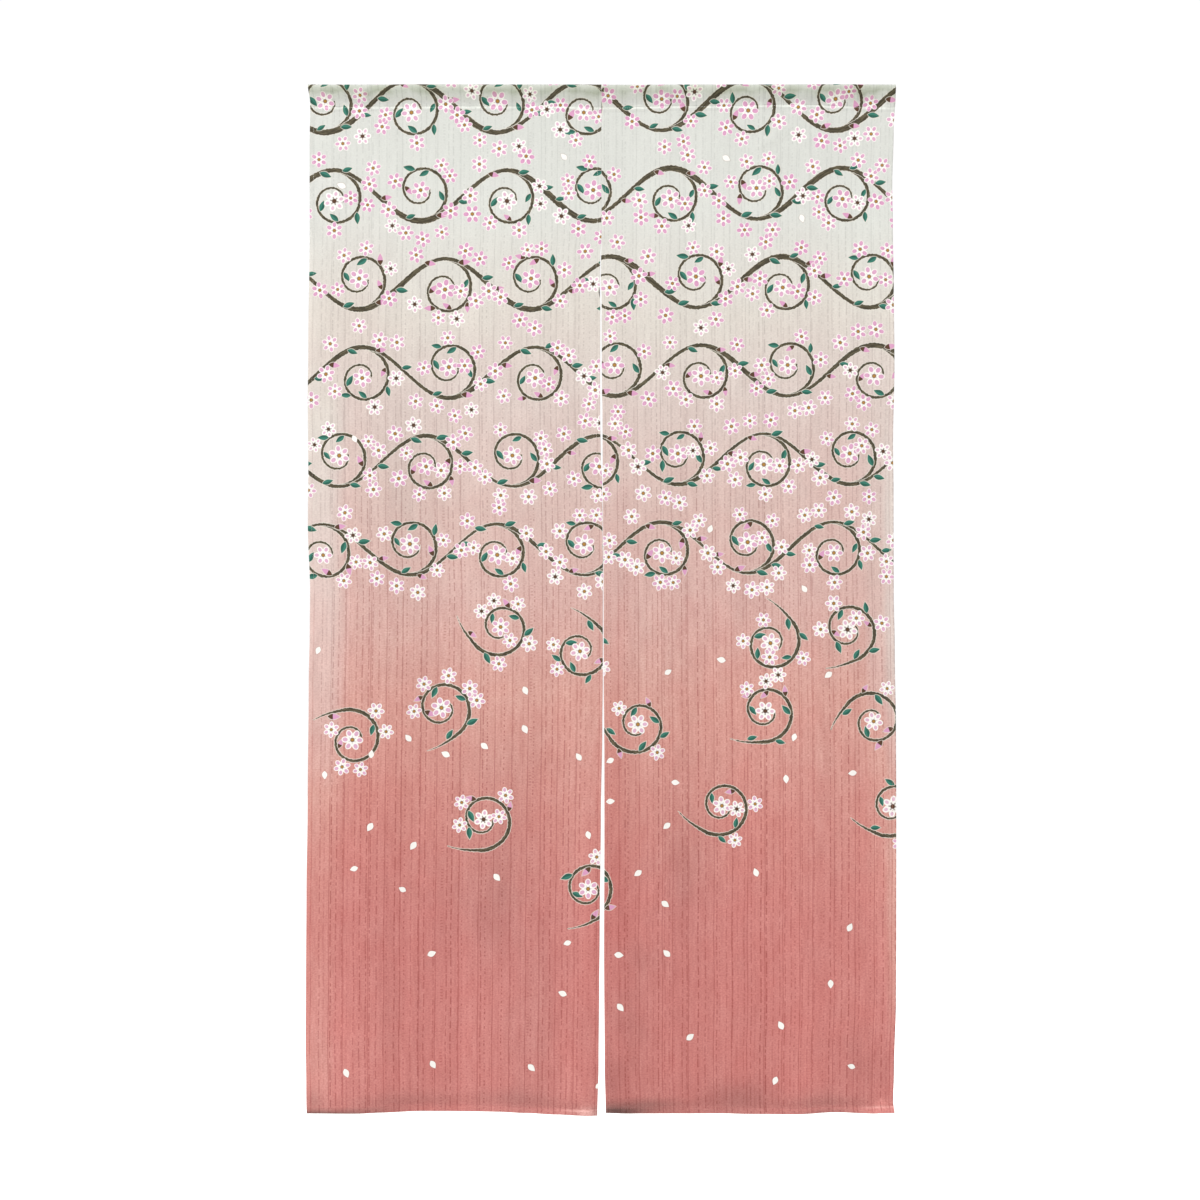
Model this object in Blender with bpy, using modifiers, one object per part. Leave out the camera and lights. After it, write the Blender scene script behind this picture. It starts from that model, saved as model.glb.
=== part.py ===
"""Noren: a split doorway curtain of two lengths of cloth, hanging from its rod pocket.

The two lengths are joined down the middle at the top and hang apart below. The top of each is turned
over to the back and stitched down, which leaves an open pocket for a rod. Each length and each pocket
strip is a surface of two parameters, given its thickness by Solidify.

Frame: +X to the right and +Z up as the curtain is looked at, its front facing -Y. The origin is the
middle of the top edge, where a rod would carry it. Tables are in millimetres; the model is in metres.
"""

import math
from collections import namedtuple

import bmesh
import bpy

# ---------------------------------------------------------------- driving sizes, mm
DROP = 1500.0              # top edge to hem
POCKET_DEPTH = 34.0        # top edge to the pocket's stitch line
POCKET_BULGE = 12.0        # the pocket, front to back, before its fuller top
TOP_FULLNESS = 0.55        # how much of the bulge moves up from the pocket's middle
POCKET_FOOT = 0.4          # how far the pocket's sharp lower edge ends above the stitch line
SEAM_LENGTH = 220.0        # how far down the two lengths are sewn together
HEM_DEPTH = 10.0           # turned-up bottom hem
SIDE_HEM = 7.0             # turned-in side hem
CLOTH = 1.0                # sheet thickness
HEM_CLOTH = 1.9            # thickness where a hem doubles the sheet
GAP = 0.3                  # clearance between neighbouring pieces

PANEL_COLUMNS = 22         # cells across one length, between its side hems
PANEL_ROWS = 26            # cells down one length, above its bottom hem
POCKET_COLUMNS = 14        # cells along one pocket strip
POCKET_SIDES = 16          # cells around the pocket

MM = 0.001

# ---------------------------------------------------------------- tables, mm
# Outer and inner edges of the two lengths, by the drop below the top edge. x is from the middle.
EdgePoint = namedtuple("EdgePoint", "drop x")
LEFT_OUTER = (
    EdgePoint(0, -427.8), EdgePoint(27, -424.5), EdgePoint(91, -425.6), EdgePoint(210, -425.4),
    EdgePoint(383, -427.6), EdgePoint(460, -428.4), EdgePoint(560, -427.7), EdgePoint(640, -428.5),
    EdgePoint(740, -425.3), EdgePoint(791, -425.7), EdgePoint(880, -427.2), EdgePoint(1050, -428.5),
    EdgePoint(1180, -429.9), EdgePoint(1300, -430.8), EdgePoint(1400, -431.1), EdgePoint(1462, -430.3),
    EdgePoint(1500, -430.3),
)
RIGHT_OUTER = (
    EdgePoint(0, 429.0), EdgePoint(22, 428.2), EdgePoint(62, 426.0), EdgePoint(150, 423.8),
    EdgePoint(210, 424.7), EdgePoint(300, 426.0), EdgePoint(405, 427.1), EdgePoint(530, 424.9),
    EdgePoint(590, 425.7), EdgePoint(740, 425.9), EdgePoint(820, 427.4), EdgePoint(940, 429.1),
    EdgePoint(1060, 429.6), EdgePoint(1230, 429.3), EdgePoint(1330, 428.6), EdgePoint(1440, 425.6),
    EdgePoint(1482, 424.4), EdgePoint(1500, 426.2),
)
LEFT_INNER = (
    EdgePoint(0, -0.2), EdgePoint(SEAM_LENGTH, -0.2), EdgePoint(246, -1.6), EdgePoint(290, -2.3),
    EdgePoint(330, -1.7), EdgePoint(440, -2.0), EdgePoint(545, -0.9), EdgePoint(575, 0.9),
    EdgePoint(690, 1.5), EdgePoint(790, 1.9), EdgePoint(870, 1.8), EdgePoint(940, 1.2),
    EdgePoint(1065, -0.9), EdgePoint(1230, -2.5), EdgePoint(1320, -3.3), EdgePoint(1425, -4.2),
    EdgePoint(1500, -6.0),
)
RIGHT_INNER = (
    EdgePoint(0, 0.2), EdgePoint(SEAM_LENGTH, 0.2), EdgePoint(246, -0.5), EdgePoint(286, -1.0),
    EdgePoint(310, 0.1), EdgePoint(440, 0.5), EdgePoint(480, 1.3), EdgePoint(560, 1.4),
    EdgePoint(690, 2.2), EdgePoint(790, 2.9), EdgePoint(880, 3.1), EdgePoint(980, 4.3),
    EdgePoint(1100, 4.3), EdgePoint(1260, 3.7), EdgePoint(1425, 4.6), EdgePoint(1500, 6.1),
)

# How far the hem hangs below the nominal drop, across the curtain.
HemPoint = namedtuple("HemPoint", "x below")
HEM_LINE = (
    HemPoint(-430, 1.6), HemPoint(-365, 0.6), HemPoint(-320, -0.9), HemPoint(-270, -2.7),
    HemPoint(-218, -2.4), HemPoint(-150, -2.4), HemPoint(-110, -0.4), HemPoint(-66, 1.5),
    HemPoint(-20, 2.6), HemPoint(-6, 1.9), HemPoint(7, 0.3), HemPoint(42, 0.8),
    HemPoint(170, 1.1), HemPoint(215, 1.5), HemPoint(268, 1.8), HemPoint(340, -1.8),
    HemPoint(384, -0.6), HemPoint(430, -2.0),
)

# How full the pocket stands along the curtain, as a share of its bulge: it is flatter at its ends.
SwellPoint = namedtuple("SwellPoint", "x share")
POCKET_SWELL = (
    SwellPoint(-430, 0.84), SwellPoint(-350, 1.0), SwellPoint(-235, 0.93), SwellPoint(-110, 0.99),
    SwellPoint(0, 0.90), SwellPoint(120, 0.97), SwellPoint(230, 0.91), SwellPoint(345, 1.0),
    SwellPoint(430, 0.86),
)

# The soft upright folds. forward is towards the viewer, reach the half width, and lean how far the
# fold drifts sideways on its way down. A fold rises between the drops named in starts and full.
Fold = namedtuple("Fold", "x reach forward lean starts full")
FOLDS = (
    Fold(-430, 40, -5.0, 0, 40, 900),
    Fold(-352, 46, 5.0, -14, 120, 1250),
    Fold(-236, 62, -5.5, 20, 60, 1100),
    Fold(-118, 48, 3.0, -16, 420, 1450),
    Fold(-4, 42, 5.5, 0, 230, 1400),
    Fold(8, 62, 6.5, 0, 230, 1400),
    Fold(172, 74, -5.5, 26, 60, 1200),
    Fold(322, 52, 5.5, 18, 100, 1300),
    Fold(430, 36, 4.0, 0, 600, 1480),
)

LINEN_ROSE = (0.70, 0.42, 0.36, 1.0)
LINEN_PALE = (0.72, 0.72, 0.66, 1.0)


# ---------------------------------------------------------------- shape of the hanging cloth
def eased(rows, at):
    """Read a two-column table at a place between its rows, with no corner at a row."""
    if at <= rows[0][0]:
        return rows[0][1]
    for low, high in zip(rows, rows[1:]):
        if at <= high[0]:
            share = (at - low[0]) / (high[0] - low[0])
            ease = 0.5 - 0.5 * math.cos(math.pi * share)
            return low[1] + (high[1] - low[1]) * ease
    return rows[-1][1]


def smooth_step(value):
    """0 below 0, 1 above 1 and an even S between."""
    value = min(max(value, 0.0), 1.0)
    return value * value * (3.0 - 2.0 * value)


def forward_of(side, x, drop):
    """How far a length stands forward of the plane it hangs in, from all its own folds."""
    total = 0.0
    for fold in FOLDS:
        if fold.x * side < 0.0:
            continue                            # a fold of the other length
        growth = smooth_step((drop - fold.starts) / (fold.full - fold.starts))
        centre = fold.x + fold.lean * (drop / DROP - 0.5)
        total += fold.forward * growth * math.exp(-((x - centre) / fold.reach) ** 2)
    return total


def hanging_point(side, x, drop):
    """Place of a point of the sheet, in metres, from its own place on the curtain in millimetres."""
    return (x * MM, -forward_of(side, x, drop) * MM, -drop * MM)


# ---------------------------------------------------------------- mesh building
def even_places(low, high, cells):
    """The ends of a stretch and of its even cells."""
    return [low + (high - low) * step / cells for step in range(cells + 1)]


def sheet_object(name, rows, colour, collection, wrap=False):
    """Make an open sheet from rows of points, each row as long as the next, and give it a material.

    With wrap the last row is joined back to the first, which makes an open tube.
    """
    mesh = bpy.data.meshes.new(name)
    built = bmesh.new()
    grid = [[built.verts.new(point) for point in row] for row in rows]
    pairs = list(zip(grid, grid[1:])) + ([(grid[-1], grid[0])] if wrap else [])
    for upper, lower in pairs:
        for left in range(len(upper) - 1):
            built.faces.new((upper[left], lower[left], lower[left + 1], upper[left + 1]))
    built.to_mesh(mesh)
    built.free()
    mesh.shade_smooth()
    made = bpy.data.objects.new(name, mesh)
    collection.objects.link(made)
    made.data.materials.append(cloth_material(name + "_cloth", colour))
    return made


def cloth_material(name, colour):
    """Matt woven cloth."""
    material = bpy.data.materials.new(name)
    material.use_nodes = True
    surface = material.node_tree.nodes["Principled BSDF"]
    surface.inputs["Base Color"].default_value = colour
    surface.inputs["Roughness"].default_value = 0.85
    surface.inputs["Metallic"].default_value = 0.0
    material.diffuse_color = colour
    return material


def thicken(sheet, thickness, hem_vertices=()):
    """Give a sheet its thickness about its middle, and more at the vertices of its hems."""
    solid = sheet.modifiers.new("thickness", "SOLIDIFY")
    solid.offset = 0.0
    solid.use_even_offset = True
    solid.thickness = thickness * MM
    if hem_vertices:
        group = sheet.vertex_groups.new(name="hem")
        group.add(list(hem_vertices), 1.0, "REPLACE")
        solid.thickness = HEM_CLOTH * MM
        solid.vertex_group = group.name
        solid.thickness_vertex_group = thickness / HEM_CLOTH


# ---------------------------------------------------------------- pieces
def build_panel(name, side, collection):
    """One length of cloth from the pocket's stitch line to the hem, with its hems thicker.

    side is -1 for the left length and +1 for the right one.
    """
    left_edge, right_edge = (LEFT_OUTER, LEFT_INNER) if side < 0 else (RIGHT_INNER, RIGHT_OUTER)
    top = POCKET_DEPTH + GAP
    drops = even_places(top, DROP - HEM_DEPTH, PANEL_ROWS) + [DROP]
    rows = []
    for drop in drops:
        low, high = eased(left_edge, drop), eased(right_edge, drop)
        across = [low] + even_places(low + SIDE_HEM, high - SIDE_HEM, PANEL_COLUMNS) + [high]
        # the hem line rises and falls, and the rows above it follow less and less
        sag = ((drop - top) / (DROP - top)) ** 3
        rows.append([hanging_point(side, x, drop + eased(HEM_LINE, x) * sag) for x in across])
    panel = sheet_object(name, rows, LINEN_ROSE, collection)
    width, last = len(rows[0]), len(rows) - 1
    hems = [row * width + column for row in range(len(rows)) for column in range(width)
            if row == last or column in (0, width - 1)]
    thicken(panel, CLOTH, hems)
    return panel


def pocket_section(turn):
    """Point of the pocket's section at an angle round it: (back, drop) in mm, at its fullest.

    The section is a slim drop shape, fuller above its middle and drawn in to the stitch line.
    """
    half_height = (POCKET_DEPTH - CLOTH - POCKET_FOOT) / 2.0
    half_depth = (POCKET_BULGE - CLOTH) / 2.0
    fullness = 1.0 + TOP_FULLNESS * math.cos(turn)
    back = half_depth * math.sin(turn) * fullness
    drop = CLOTH / 2.0 + half_height * (1.0 - math.cos(turn))
    return back, drop


def build_heading(name, side, collection):
    """The turned-over top of one length: a slim tube, open at both ends."""
    outer, inner = (LEFT_OUTER, LEFT_INNER) if side < 0 else (RIGHT_OUTER, RIGHT_INNER)
    rows = []
    for corner in range(POCKET_SIDES):
        back, drop = pocket_section(2.0 * math.pi * corner / POCKET_SIDES)
        low, high = sorted((eased(outer, drop), eased(inner, drop)))
        across = even_places(low, high, POCKET_COLUMNS)
        rows.append([(x * MM, back * eased(POCKET_SWELL, x) * MM, -drop * MM) for x in across])
    heading = sheet_object(name, rows, LINEN_PALE, collection, wrap=True)
    thicken(heading, CLOTH)
    return heading


def main():
    """Clear the scene and build the four pieces."""
    for leftover in list(bpy.data.objects):
        bpy.data.objects.remove(leftover, do_unlink=True)
    collection = bpy.data.collections.new("noren_curtain")
    bpy.context.scene.collection.children.link(collection)
    for word, side in (("left", -1), ("right", 1)):
        build_heading("heading_" + word, side, collection)
        build_panel("panel_" + word, side, collection)


main()
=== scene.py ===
"""Looks of the noren curtain: two lengths of printed slub cloth with a rod pocket, hems and stitches.

Sizes are in millimetres and turned to metres where a mesh is made. Places on the cloth are named by
across, the distance from the curtain's middle, and drop, the distance below its top edge.
"""

from __future__ import annotations

import logging
import math
from dataclasses import dataclass, field
from enum import Enum
from functools import partial
from typing import Any, Callable, ClassVar, NamedTuple, Sequence

import bpy
import numpy as np
from bpy.types import Material, Mesh, Node, NodeSocket, NodeTree, Object
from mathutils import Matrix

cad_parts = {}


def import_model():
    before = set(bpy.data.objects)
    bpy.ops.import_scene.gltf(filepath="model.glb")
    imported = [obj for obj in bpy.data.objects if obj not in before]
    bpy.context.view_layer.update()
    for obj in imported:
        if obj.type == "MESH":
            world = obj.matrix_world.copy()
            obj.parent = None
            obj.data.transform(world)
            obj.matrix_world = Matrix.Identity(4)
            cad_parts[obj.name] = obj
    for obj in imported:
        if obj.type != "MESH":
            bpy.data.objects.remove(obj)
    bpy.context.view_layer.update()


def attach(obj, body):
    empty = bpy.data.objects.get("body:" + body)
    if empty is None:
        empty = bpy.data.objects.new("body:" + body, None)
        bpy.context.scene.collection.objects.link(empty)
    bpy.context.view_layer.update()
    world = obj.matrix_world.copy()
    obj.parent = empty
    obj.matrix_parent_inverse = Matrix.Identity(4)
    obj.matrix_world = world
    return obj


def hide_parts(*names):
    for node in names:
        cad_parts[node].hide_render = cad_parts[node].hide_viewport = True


LOG = logging.getLogger("noren")
MM = 0.001
TAU = 2.0 * math.pi
Array = np.ndarray
Adder = Callable[..., Node]     # add, bound to one node tree


# ------------------------------------------------------------------ tables of the hanging cloth, mm
class Fold(NamedTuple):
    """A soft upright fold: forward of the hanging plane, half width, sideways drift and its growth."""

    x: float
    reach: float
    forward: float
    lean: float
    starts: float
    full: float


class Crease(NamedTuple):
    """A soft crease from one place to another: its half width and how far it stands forward."""

    x: float
    drop: float
    to_x: float
    to_drop: float
    reach: float
    forward: float


class DyeAndLightPatch(NamedTuple):
    """A soft patch of uneven dye and of painted light and shade: its place and reach, and shares of lighter
    and of paler.
    """

    x: float
    drop: float
    across: float
    down: float
    lighter: float
    paler: float


class Ripple(NamedTuple):
    """A shallow wave across the cloth: its length, height, sideways wander and the wander's length."""

    wave: float
    height: float
    wander: float
    pace: float


# each edge of the two lengths: drops, and where the edge is there
LEFT_OUTER = (
    (0, -427.8), (27, -424.5), (91, -425.6), (210, -425.4), (383, -427.6), (460, -428.4), (560, -427.7),
    (640, -428.5), (740, -425.3), (791, -425.7), (880, -427.3), (1050, -428.8), (1180, -430.4),
    (1300, -431.2), (1400, -431.6), (1462, -430.8), (1500, -430.6),
)
RIGHT_OUTER = (
    (0, 429.0), (22, 428.2), (62, 426.0), (150, 423.8), (210, 424.7), (300, 426.0), (405, 427.1),
    (530, 424.9), (590, 425.7), (740, 425.9), (820, 427.4), (940, 429.1), (1060, 429.6), (1230, 429.4),
    (1330, 429.0), (1440, 426.1), (1482, 424.8), (1500, 426.5),
)
LEFT_INNER = (
    (0, -0.05), (222, -0.05), (246, -1.7), (290, -2.6), (330, -1.8), (440, -2.1), (480, -1.9), (545, -1.0),
    (580, 0.9), (640, 1.5), (700, 2.2), (741, 2.0), (870, 1.9), (940, 1.2), (1065, -0.9), (1230, -2.6),
    (1320, -3.4), (1425, -4.2), (1500, -6.0),
)
RIGHT_INNER = (
    (0, 0.05), (222, 0.05), (246, -0.6), (286, -1.0), (308, 0.1), (440, 0.6), (480, 1.4), (600, 1.9),
    (640, 2.1), (700, 2.9), (790, 3.1), (880, 3.2), (940, 3.9), (980, 4.2), (1100, 4.2), (1260, 3.7),
    (1425, 4.6), (1500, 6.2),
)
# across the curtain: how far the hem hangs below the nominal drop
HEM_LINE = (
    (-430, 1.6), (-365, 0.6), (-320, -0.9), (-270, -2.6), (-218, -2.4), (-150, -2.6), (-110, -0.8),
    (-66, 1.4), (-20, 2.6), (-6, 1.7), (7, 0.3), (42, 0.9), (170, 1.0), (215, 1.7), (280, 1.7), (340, -1.8),
    (386, -0.7), (430, -2.0),
)
# how far the cloth stands back, from a little above the hem down to it
HEM_SET_BACK_LEFT = (
    (-430, 2.2), (-340, 1.9), (-250, 2.6), (-150, 1.2), (-80, 2.4), (-35, 2.9), (0, 2.2),
)
HEM_SET_BACK_RIGHT = (
    (0, 5.8), (45, 5.0), (110, 3.2), (180, 2.0), (235, 2.4), (300, 4.2), (350, 4.0), (395, 2.6), (430, 2.2),
)
# how far the hem itself turns up and forward (plus) or down and back (minus)
HEM_LIP_LEFT = (
    (-430, -4.4), (-385, -3.8), (-320, -2.0), (-270, 0.0), (-200, 0.4), (-120, 0.5), (-70, 2.0), (-35, 4.4),
    (0, 5.4),
)
HEM_LIP_RIGHT = (
    (0, -7.0), (45, -5.4), (95, -2.6), (160, -0.6), (235, 0.3), (320, -0.6), (358, -0.4), (378, 2.2),
    (402, 5.2), (430, 6.2),
)
# how full the pocket stands, as a share of its bulge
POCKET_SWELL = (
    (-430, 0.84), (-350, 1.0), (-235, 0.93), (-110, 0.99), (0, 0.90), (120, 0.97), (230, 0.91), (345, 1.0),
    (430, 0.86),
)
# how far below the pocket's nominal depth its line of stitches lies
STITCH_LINE = (
    (-430, -0.8), (-350, -1.6), (-90, -1.9), (4, -0.4), (40, -0.6), (90, -2.2), (143, -2.6), (190, -2.4),
    (235, -4.0), (268, -4.4), (305, -4.3), (345, -2.2), (397, -0.5), (430, -0.3),
)
FOLDS = tuple(Fold(*row) for row in (
    (-430, 40, -5.0, 0, 40, 900), (-352, 46, 5.0, -14, 120, 1250), (-236, 62, -5.5, 20, 60, 1100),
    (-118, 48, 3.0, -16, 420, 1450), (-4, 42, 5.5, 0, 230, 1400), (8, 62, 6.5, 0, 230, 1400),
    (172, 74, -5.5, 26, 60, 1200), (322, 52, 5.5, 18, 100, 1300), (430, 36, 4.0, 0, 600, 1480),
))
RIPPLES = tuple(Ripple(*row) for row in (
    (83.0, 0.55, 26.0, 930.0), (47.0, 0.34, 15.0, 520.0), (27.0, 0.13, 9.0, 310.0),
))
# where the cloth was crumpled
CREASES = tuple(Crease(*row) for row in (
    (212, 99, 312, 44, 6.5, 0.50), (226, 103, 318, 58, 5.0, -0.34), (296, 72, 334, 71, 2.0, 0.20),
    (298, 77, 331, 75, 2.0, -0.16), (262, 56, 300, 52, 2.4, 0.20), (330, 60, 372, 54, 3.0, -0.20),
    (-120, 60, -60, 48, 4.0, 0.22), (52, 66, 96, 47, 4.2, 0.26), (-340, 52, -300, 74, 4.5, 0.20),
    (20, 1346, 112, 1308, 9.0, -0.55), (-404, 1394, -250, 1374, 8.0, 0.40),
    (-240, 1450, -70, 1468, 7.0, -0.40), (60, 1262, 190, 1284, 8.0, 0.40),
    (236, 1180, 330, 1150, 9.0, -0.45), (-330, 1150, -220, 1180, 9.0, 0.45),
    (330, 1452, 400, 1400, 7.0, 0.45),
))
# uneven patches of the dye, whose lighter shares also paint the shade of folds; the last rows are painted
# shade and painted highlights along the hem, greyer, darker and lighter places
DYE_AND_PAINTED_LIGHT = tuple(DyeAndLightPatch(*row) for row in (
    (-412, 980, 22, 330, -0.02, -0.02), (-408, 1420, 30, 110, 0.07, 0.08),
    (-358, 1420, 45, 110, 0.08, 0.05), (-290, 600, 48, 110, -0.05, 0.05),
    (-231, 902, 42, 90, -0.055, -0.04), (-155, 1194, 44, 90, -0.14, 0.075),
    (-148, 1010, 60, 120, -0.065, 0.03), (-140, 1400, 70, 110, 0.0, 0.045),
    (-40, 1110, 24, 200, 0.07, 0.08), (-36, 1466, 34, 60, 0.09, 0.055), (45, 1390, 44, 100, -0.035, 0.0),
    (30, 700, 40, 160, -0.03, -0.03), (119, 1141, 34, 80, -0.07, 0.08), (219, 680, 40, 110, -0.055, 0.0),
    (222, 1380, 50, 140, -0.03, -0.02), (377, 1150, 44, 200, 0.05, 0.0), (-95, 1360, 30, 140, 0.0, 0.085),
    (-297, 1016, 48, 120, 0.0, -0.075), (216, 1060, 42, 160, 0.0, -0.045),
    (330, 1029, 32, 110, 0.02, 0.055), (385, 300, 40, 120, 0.02, 0.02), (-410, 770, 34, 140, 0.045, -0.06),
    (-360, 1040, 40, 120, 0.0, -0.045), (170, 860, 60, 160, -0.02, -0.07), (340, 560, 50, 120, 0.0, -0.045),
    (-350, 350, 60, 140, -0.02, -0.04), (-220, 1200, 36, 90, -0.04, 0.0), (340, 1400, 60, 110, 0.04, 0.0),
    (-120, 1478, 60, 14, -0.13, 0.08), (-290, 1482, 70, 12, -0.09, 0.06), (194, 1476, 54, 22, -0.22, 0.03),
    (328, 1482, 46, 16, -0.08, 0.10), (16, 990, 15, 190, -0.07, -0.10), (14, 1210, 26, 90, -0.05, -0.08),
    (12, 1450, 24, 40, -0.17, -0.02), (394, 1430, 34, 36, -0.09, 0.0), (-417, 1478, 13, 14, -0.14, 0.0),
    (-13, 1498, 14, 12, 0.48, 0.16), (60, 1276, 40, 22, -0.05, 0.03), (30, 1366, 34, 30, -0.05, 0.04),
    (350, 1412, 30, 46, -0.07, 0.02), (-412, 1500, 62, 3.6, -0.46, 0.20), (-345, 1496, 50, 6, -0.13, 0.10),
    (12, 1497, 40, 9, -0.58, 0.40), (66, 1487, 40, 8, -0.22, 0.10), (410, 1485, 13, 5, 0.32, 0.08),
    (330, 1499, 44, 3, -0.16, 0.06), (-32, 1494, 20, 1.7, 0.32, 0.28), (404, 1491.5, 22, 1.5, 0.36, 0.34),
    (412, 1496, 26, 7, 0.05, 0.08), (190, 1496, 130, 10, 0.0, 0.07), (-60, 1496, 66, 9, 0.0, 0.05),
))
# down the cloth: how far the paler outer margins lag behind on the graded dye
LEFT_LAG = (
    (370, 0.0), (520, 146.0), (730, 244.0), (870, 230.0), (985, 176.0), (1090, 80.0), (1210, 115.0),
    (1340, 210.0), (1440, 330.0),
)
RIGHT_LAG = (
    (440, 0.0), (640, 165.0), (850, 275.0), (1030, 160.0), (1200, 150.0), (1320, 150.0), (1440, 90.0),
)
# the graded dye from the top edge down
DYE = (
    (0, "DEE0DA"), (190, "E4E5DF"), (332, "E5DED5"), (449, "E2D2CB"), (640, "E0C0B8"), (741, "E0B8B0"),
    (899, "E0A89D"), (1080, "D89189"), (1207, "D68983"), (1440, "D68781"),
)
# painted shade of the doubled cloth and a painted highlight on the ridge above the stitches, from the
# pocket's top edge, 0, to 40 mm below it, 1
POCKET_PAINTED_LIGHT = (
    (0.0, 0.94), (0.08, 0.73), (0.16, 0.65), (0.28, 0.59), (0.43, 0.82), (0.58, 0.92), (0.71, 1.0),
    (0.78, 1.10), (0.84, 1.30), (0.895, 1.42), (0.94, 1.03), (1.0, 1.0),
)


class Side(Enum):
    """Which length of the curtain, as its front is looked at."""

    LEFT = -1
    RIGHT = 1


# ------------------------------------------------------------------ small helpers
def eased(rows: Sequence[tuple[float, float]], at: Array) -> Array:
    """Read a two-column table between its rows, with no corner at a row.

    Between rows (a, p) and (b, q) the value is p + (q - p) (1 - cos(pi f)) / 2, f = (at - a) / (b - a).

    Args:
        rows: the table, its first column rising.
        at: places in the first column's unit.

    Returns:
        The second column's values there.
    """
    keys, values = np.array(rows, dtype=float).T
    at = np.clip(np.asarray(at, dtype=float), keys[0], keys[-1])
    low = np.clip(np.searchsorted(keys, at, side="right") - 1, 0, len(keys) - 2)
    share = (at - keys[low]) / (keys[low + 1] - keys[low])
    return values[low] + (values[low + 1] - values[low]) * (0.5 - 0.5 * np.cos(np.pi * share))


def smooth_step(value: Array) -> Array:
    """0 below 0, 1 above 1 and 3 v^2 - 2 v^3 between."""
    value = np.clip(value, 0.0, 1.0)
    return value * value * (3.0 - 2.0 * value)


def rounded_edge(inwards: Array, radius: float) -> Array:
    """Share of the full thickness near an edge: sqrt(1 - (1 - inwards / radius)^2), then 1."""
    return np.sqrt(1.0 - (1.0 - np.clip(inwards / radius, 0.0, 1.0)) ** 2)


def hem_band(inwards: Array, width: float) -> Array:
    """1 on a turned hem and 0 inside it, eased over half a millimetre."""
    return 1.0 - smooth_step((inwards - width + 0.25) / 0.5)


def unit(vectors: Array) -> Array:
    """Vectors along the last axis brought to length 1."""
    return vectors / np.maximum(np.linalg.norm(vectors, axis=-1, keepdims=True), 1e-12)


def linear(code: str, gain: float = 1.0) -> tuple[float, float, float, float]:
    """Turn an sRGB hex colour to linear: c / 12.92 up to 0.04045, else ((c + 0.055) / 1.055)^2.4.

    Args:
        code: six hex digits.
        gain: what red, green and blue are multiplied by.

    Returns:
        Linear red, green, blue and an alpha of 1.
    """
    parts = [int(code[at:at + 2], 16) / 255.0 for at in (0, 2, 4)]
    red, green, blue = (c / 12.92 if c <= 0.04045 else ((c + 0.055) / 1.055) ** 2.4 for c in parts)
    return red * gain, green * gain, blue * gain, 1.0


def hem_places(low: float, high: float, near: Sequence[float], cell: float) -> Array:
    """Places across a sheet, close together at both edges and even between.

    Args:
        low: one edge.
        high: the other edge.
        near: distances from an edge that get a place, rising from 0.
        cell: the size to aim at for the even cells.

    Returns:
        The places, rising.
    """
    near = np.asarray(near, dtype=float)
    inner_low, inner_high = low + near[-1], high - near[-1]
    cells = max(1, round((inner_high - inner_low) / cell))
    middle = np.linspace(inner_low, inner_high, cells + 1)[1:-1]
    return np.concatenate([low + near, middle, (high - near)[::-1]])


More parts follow.
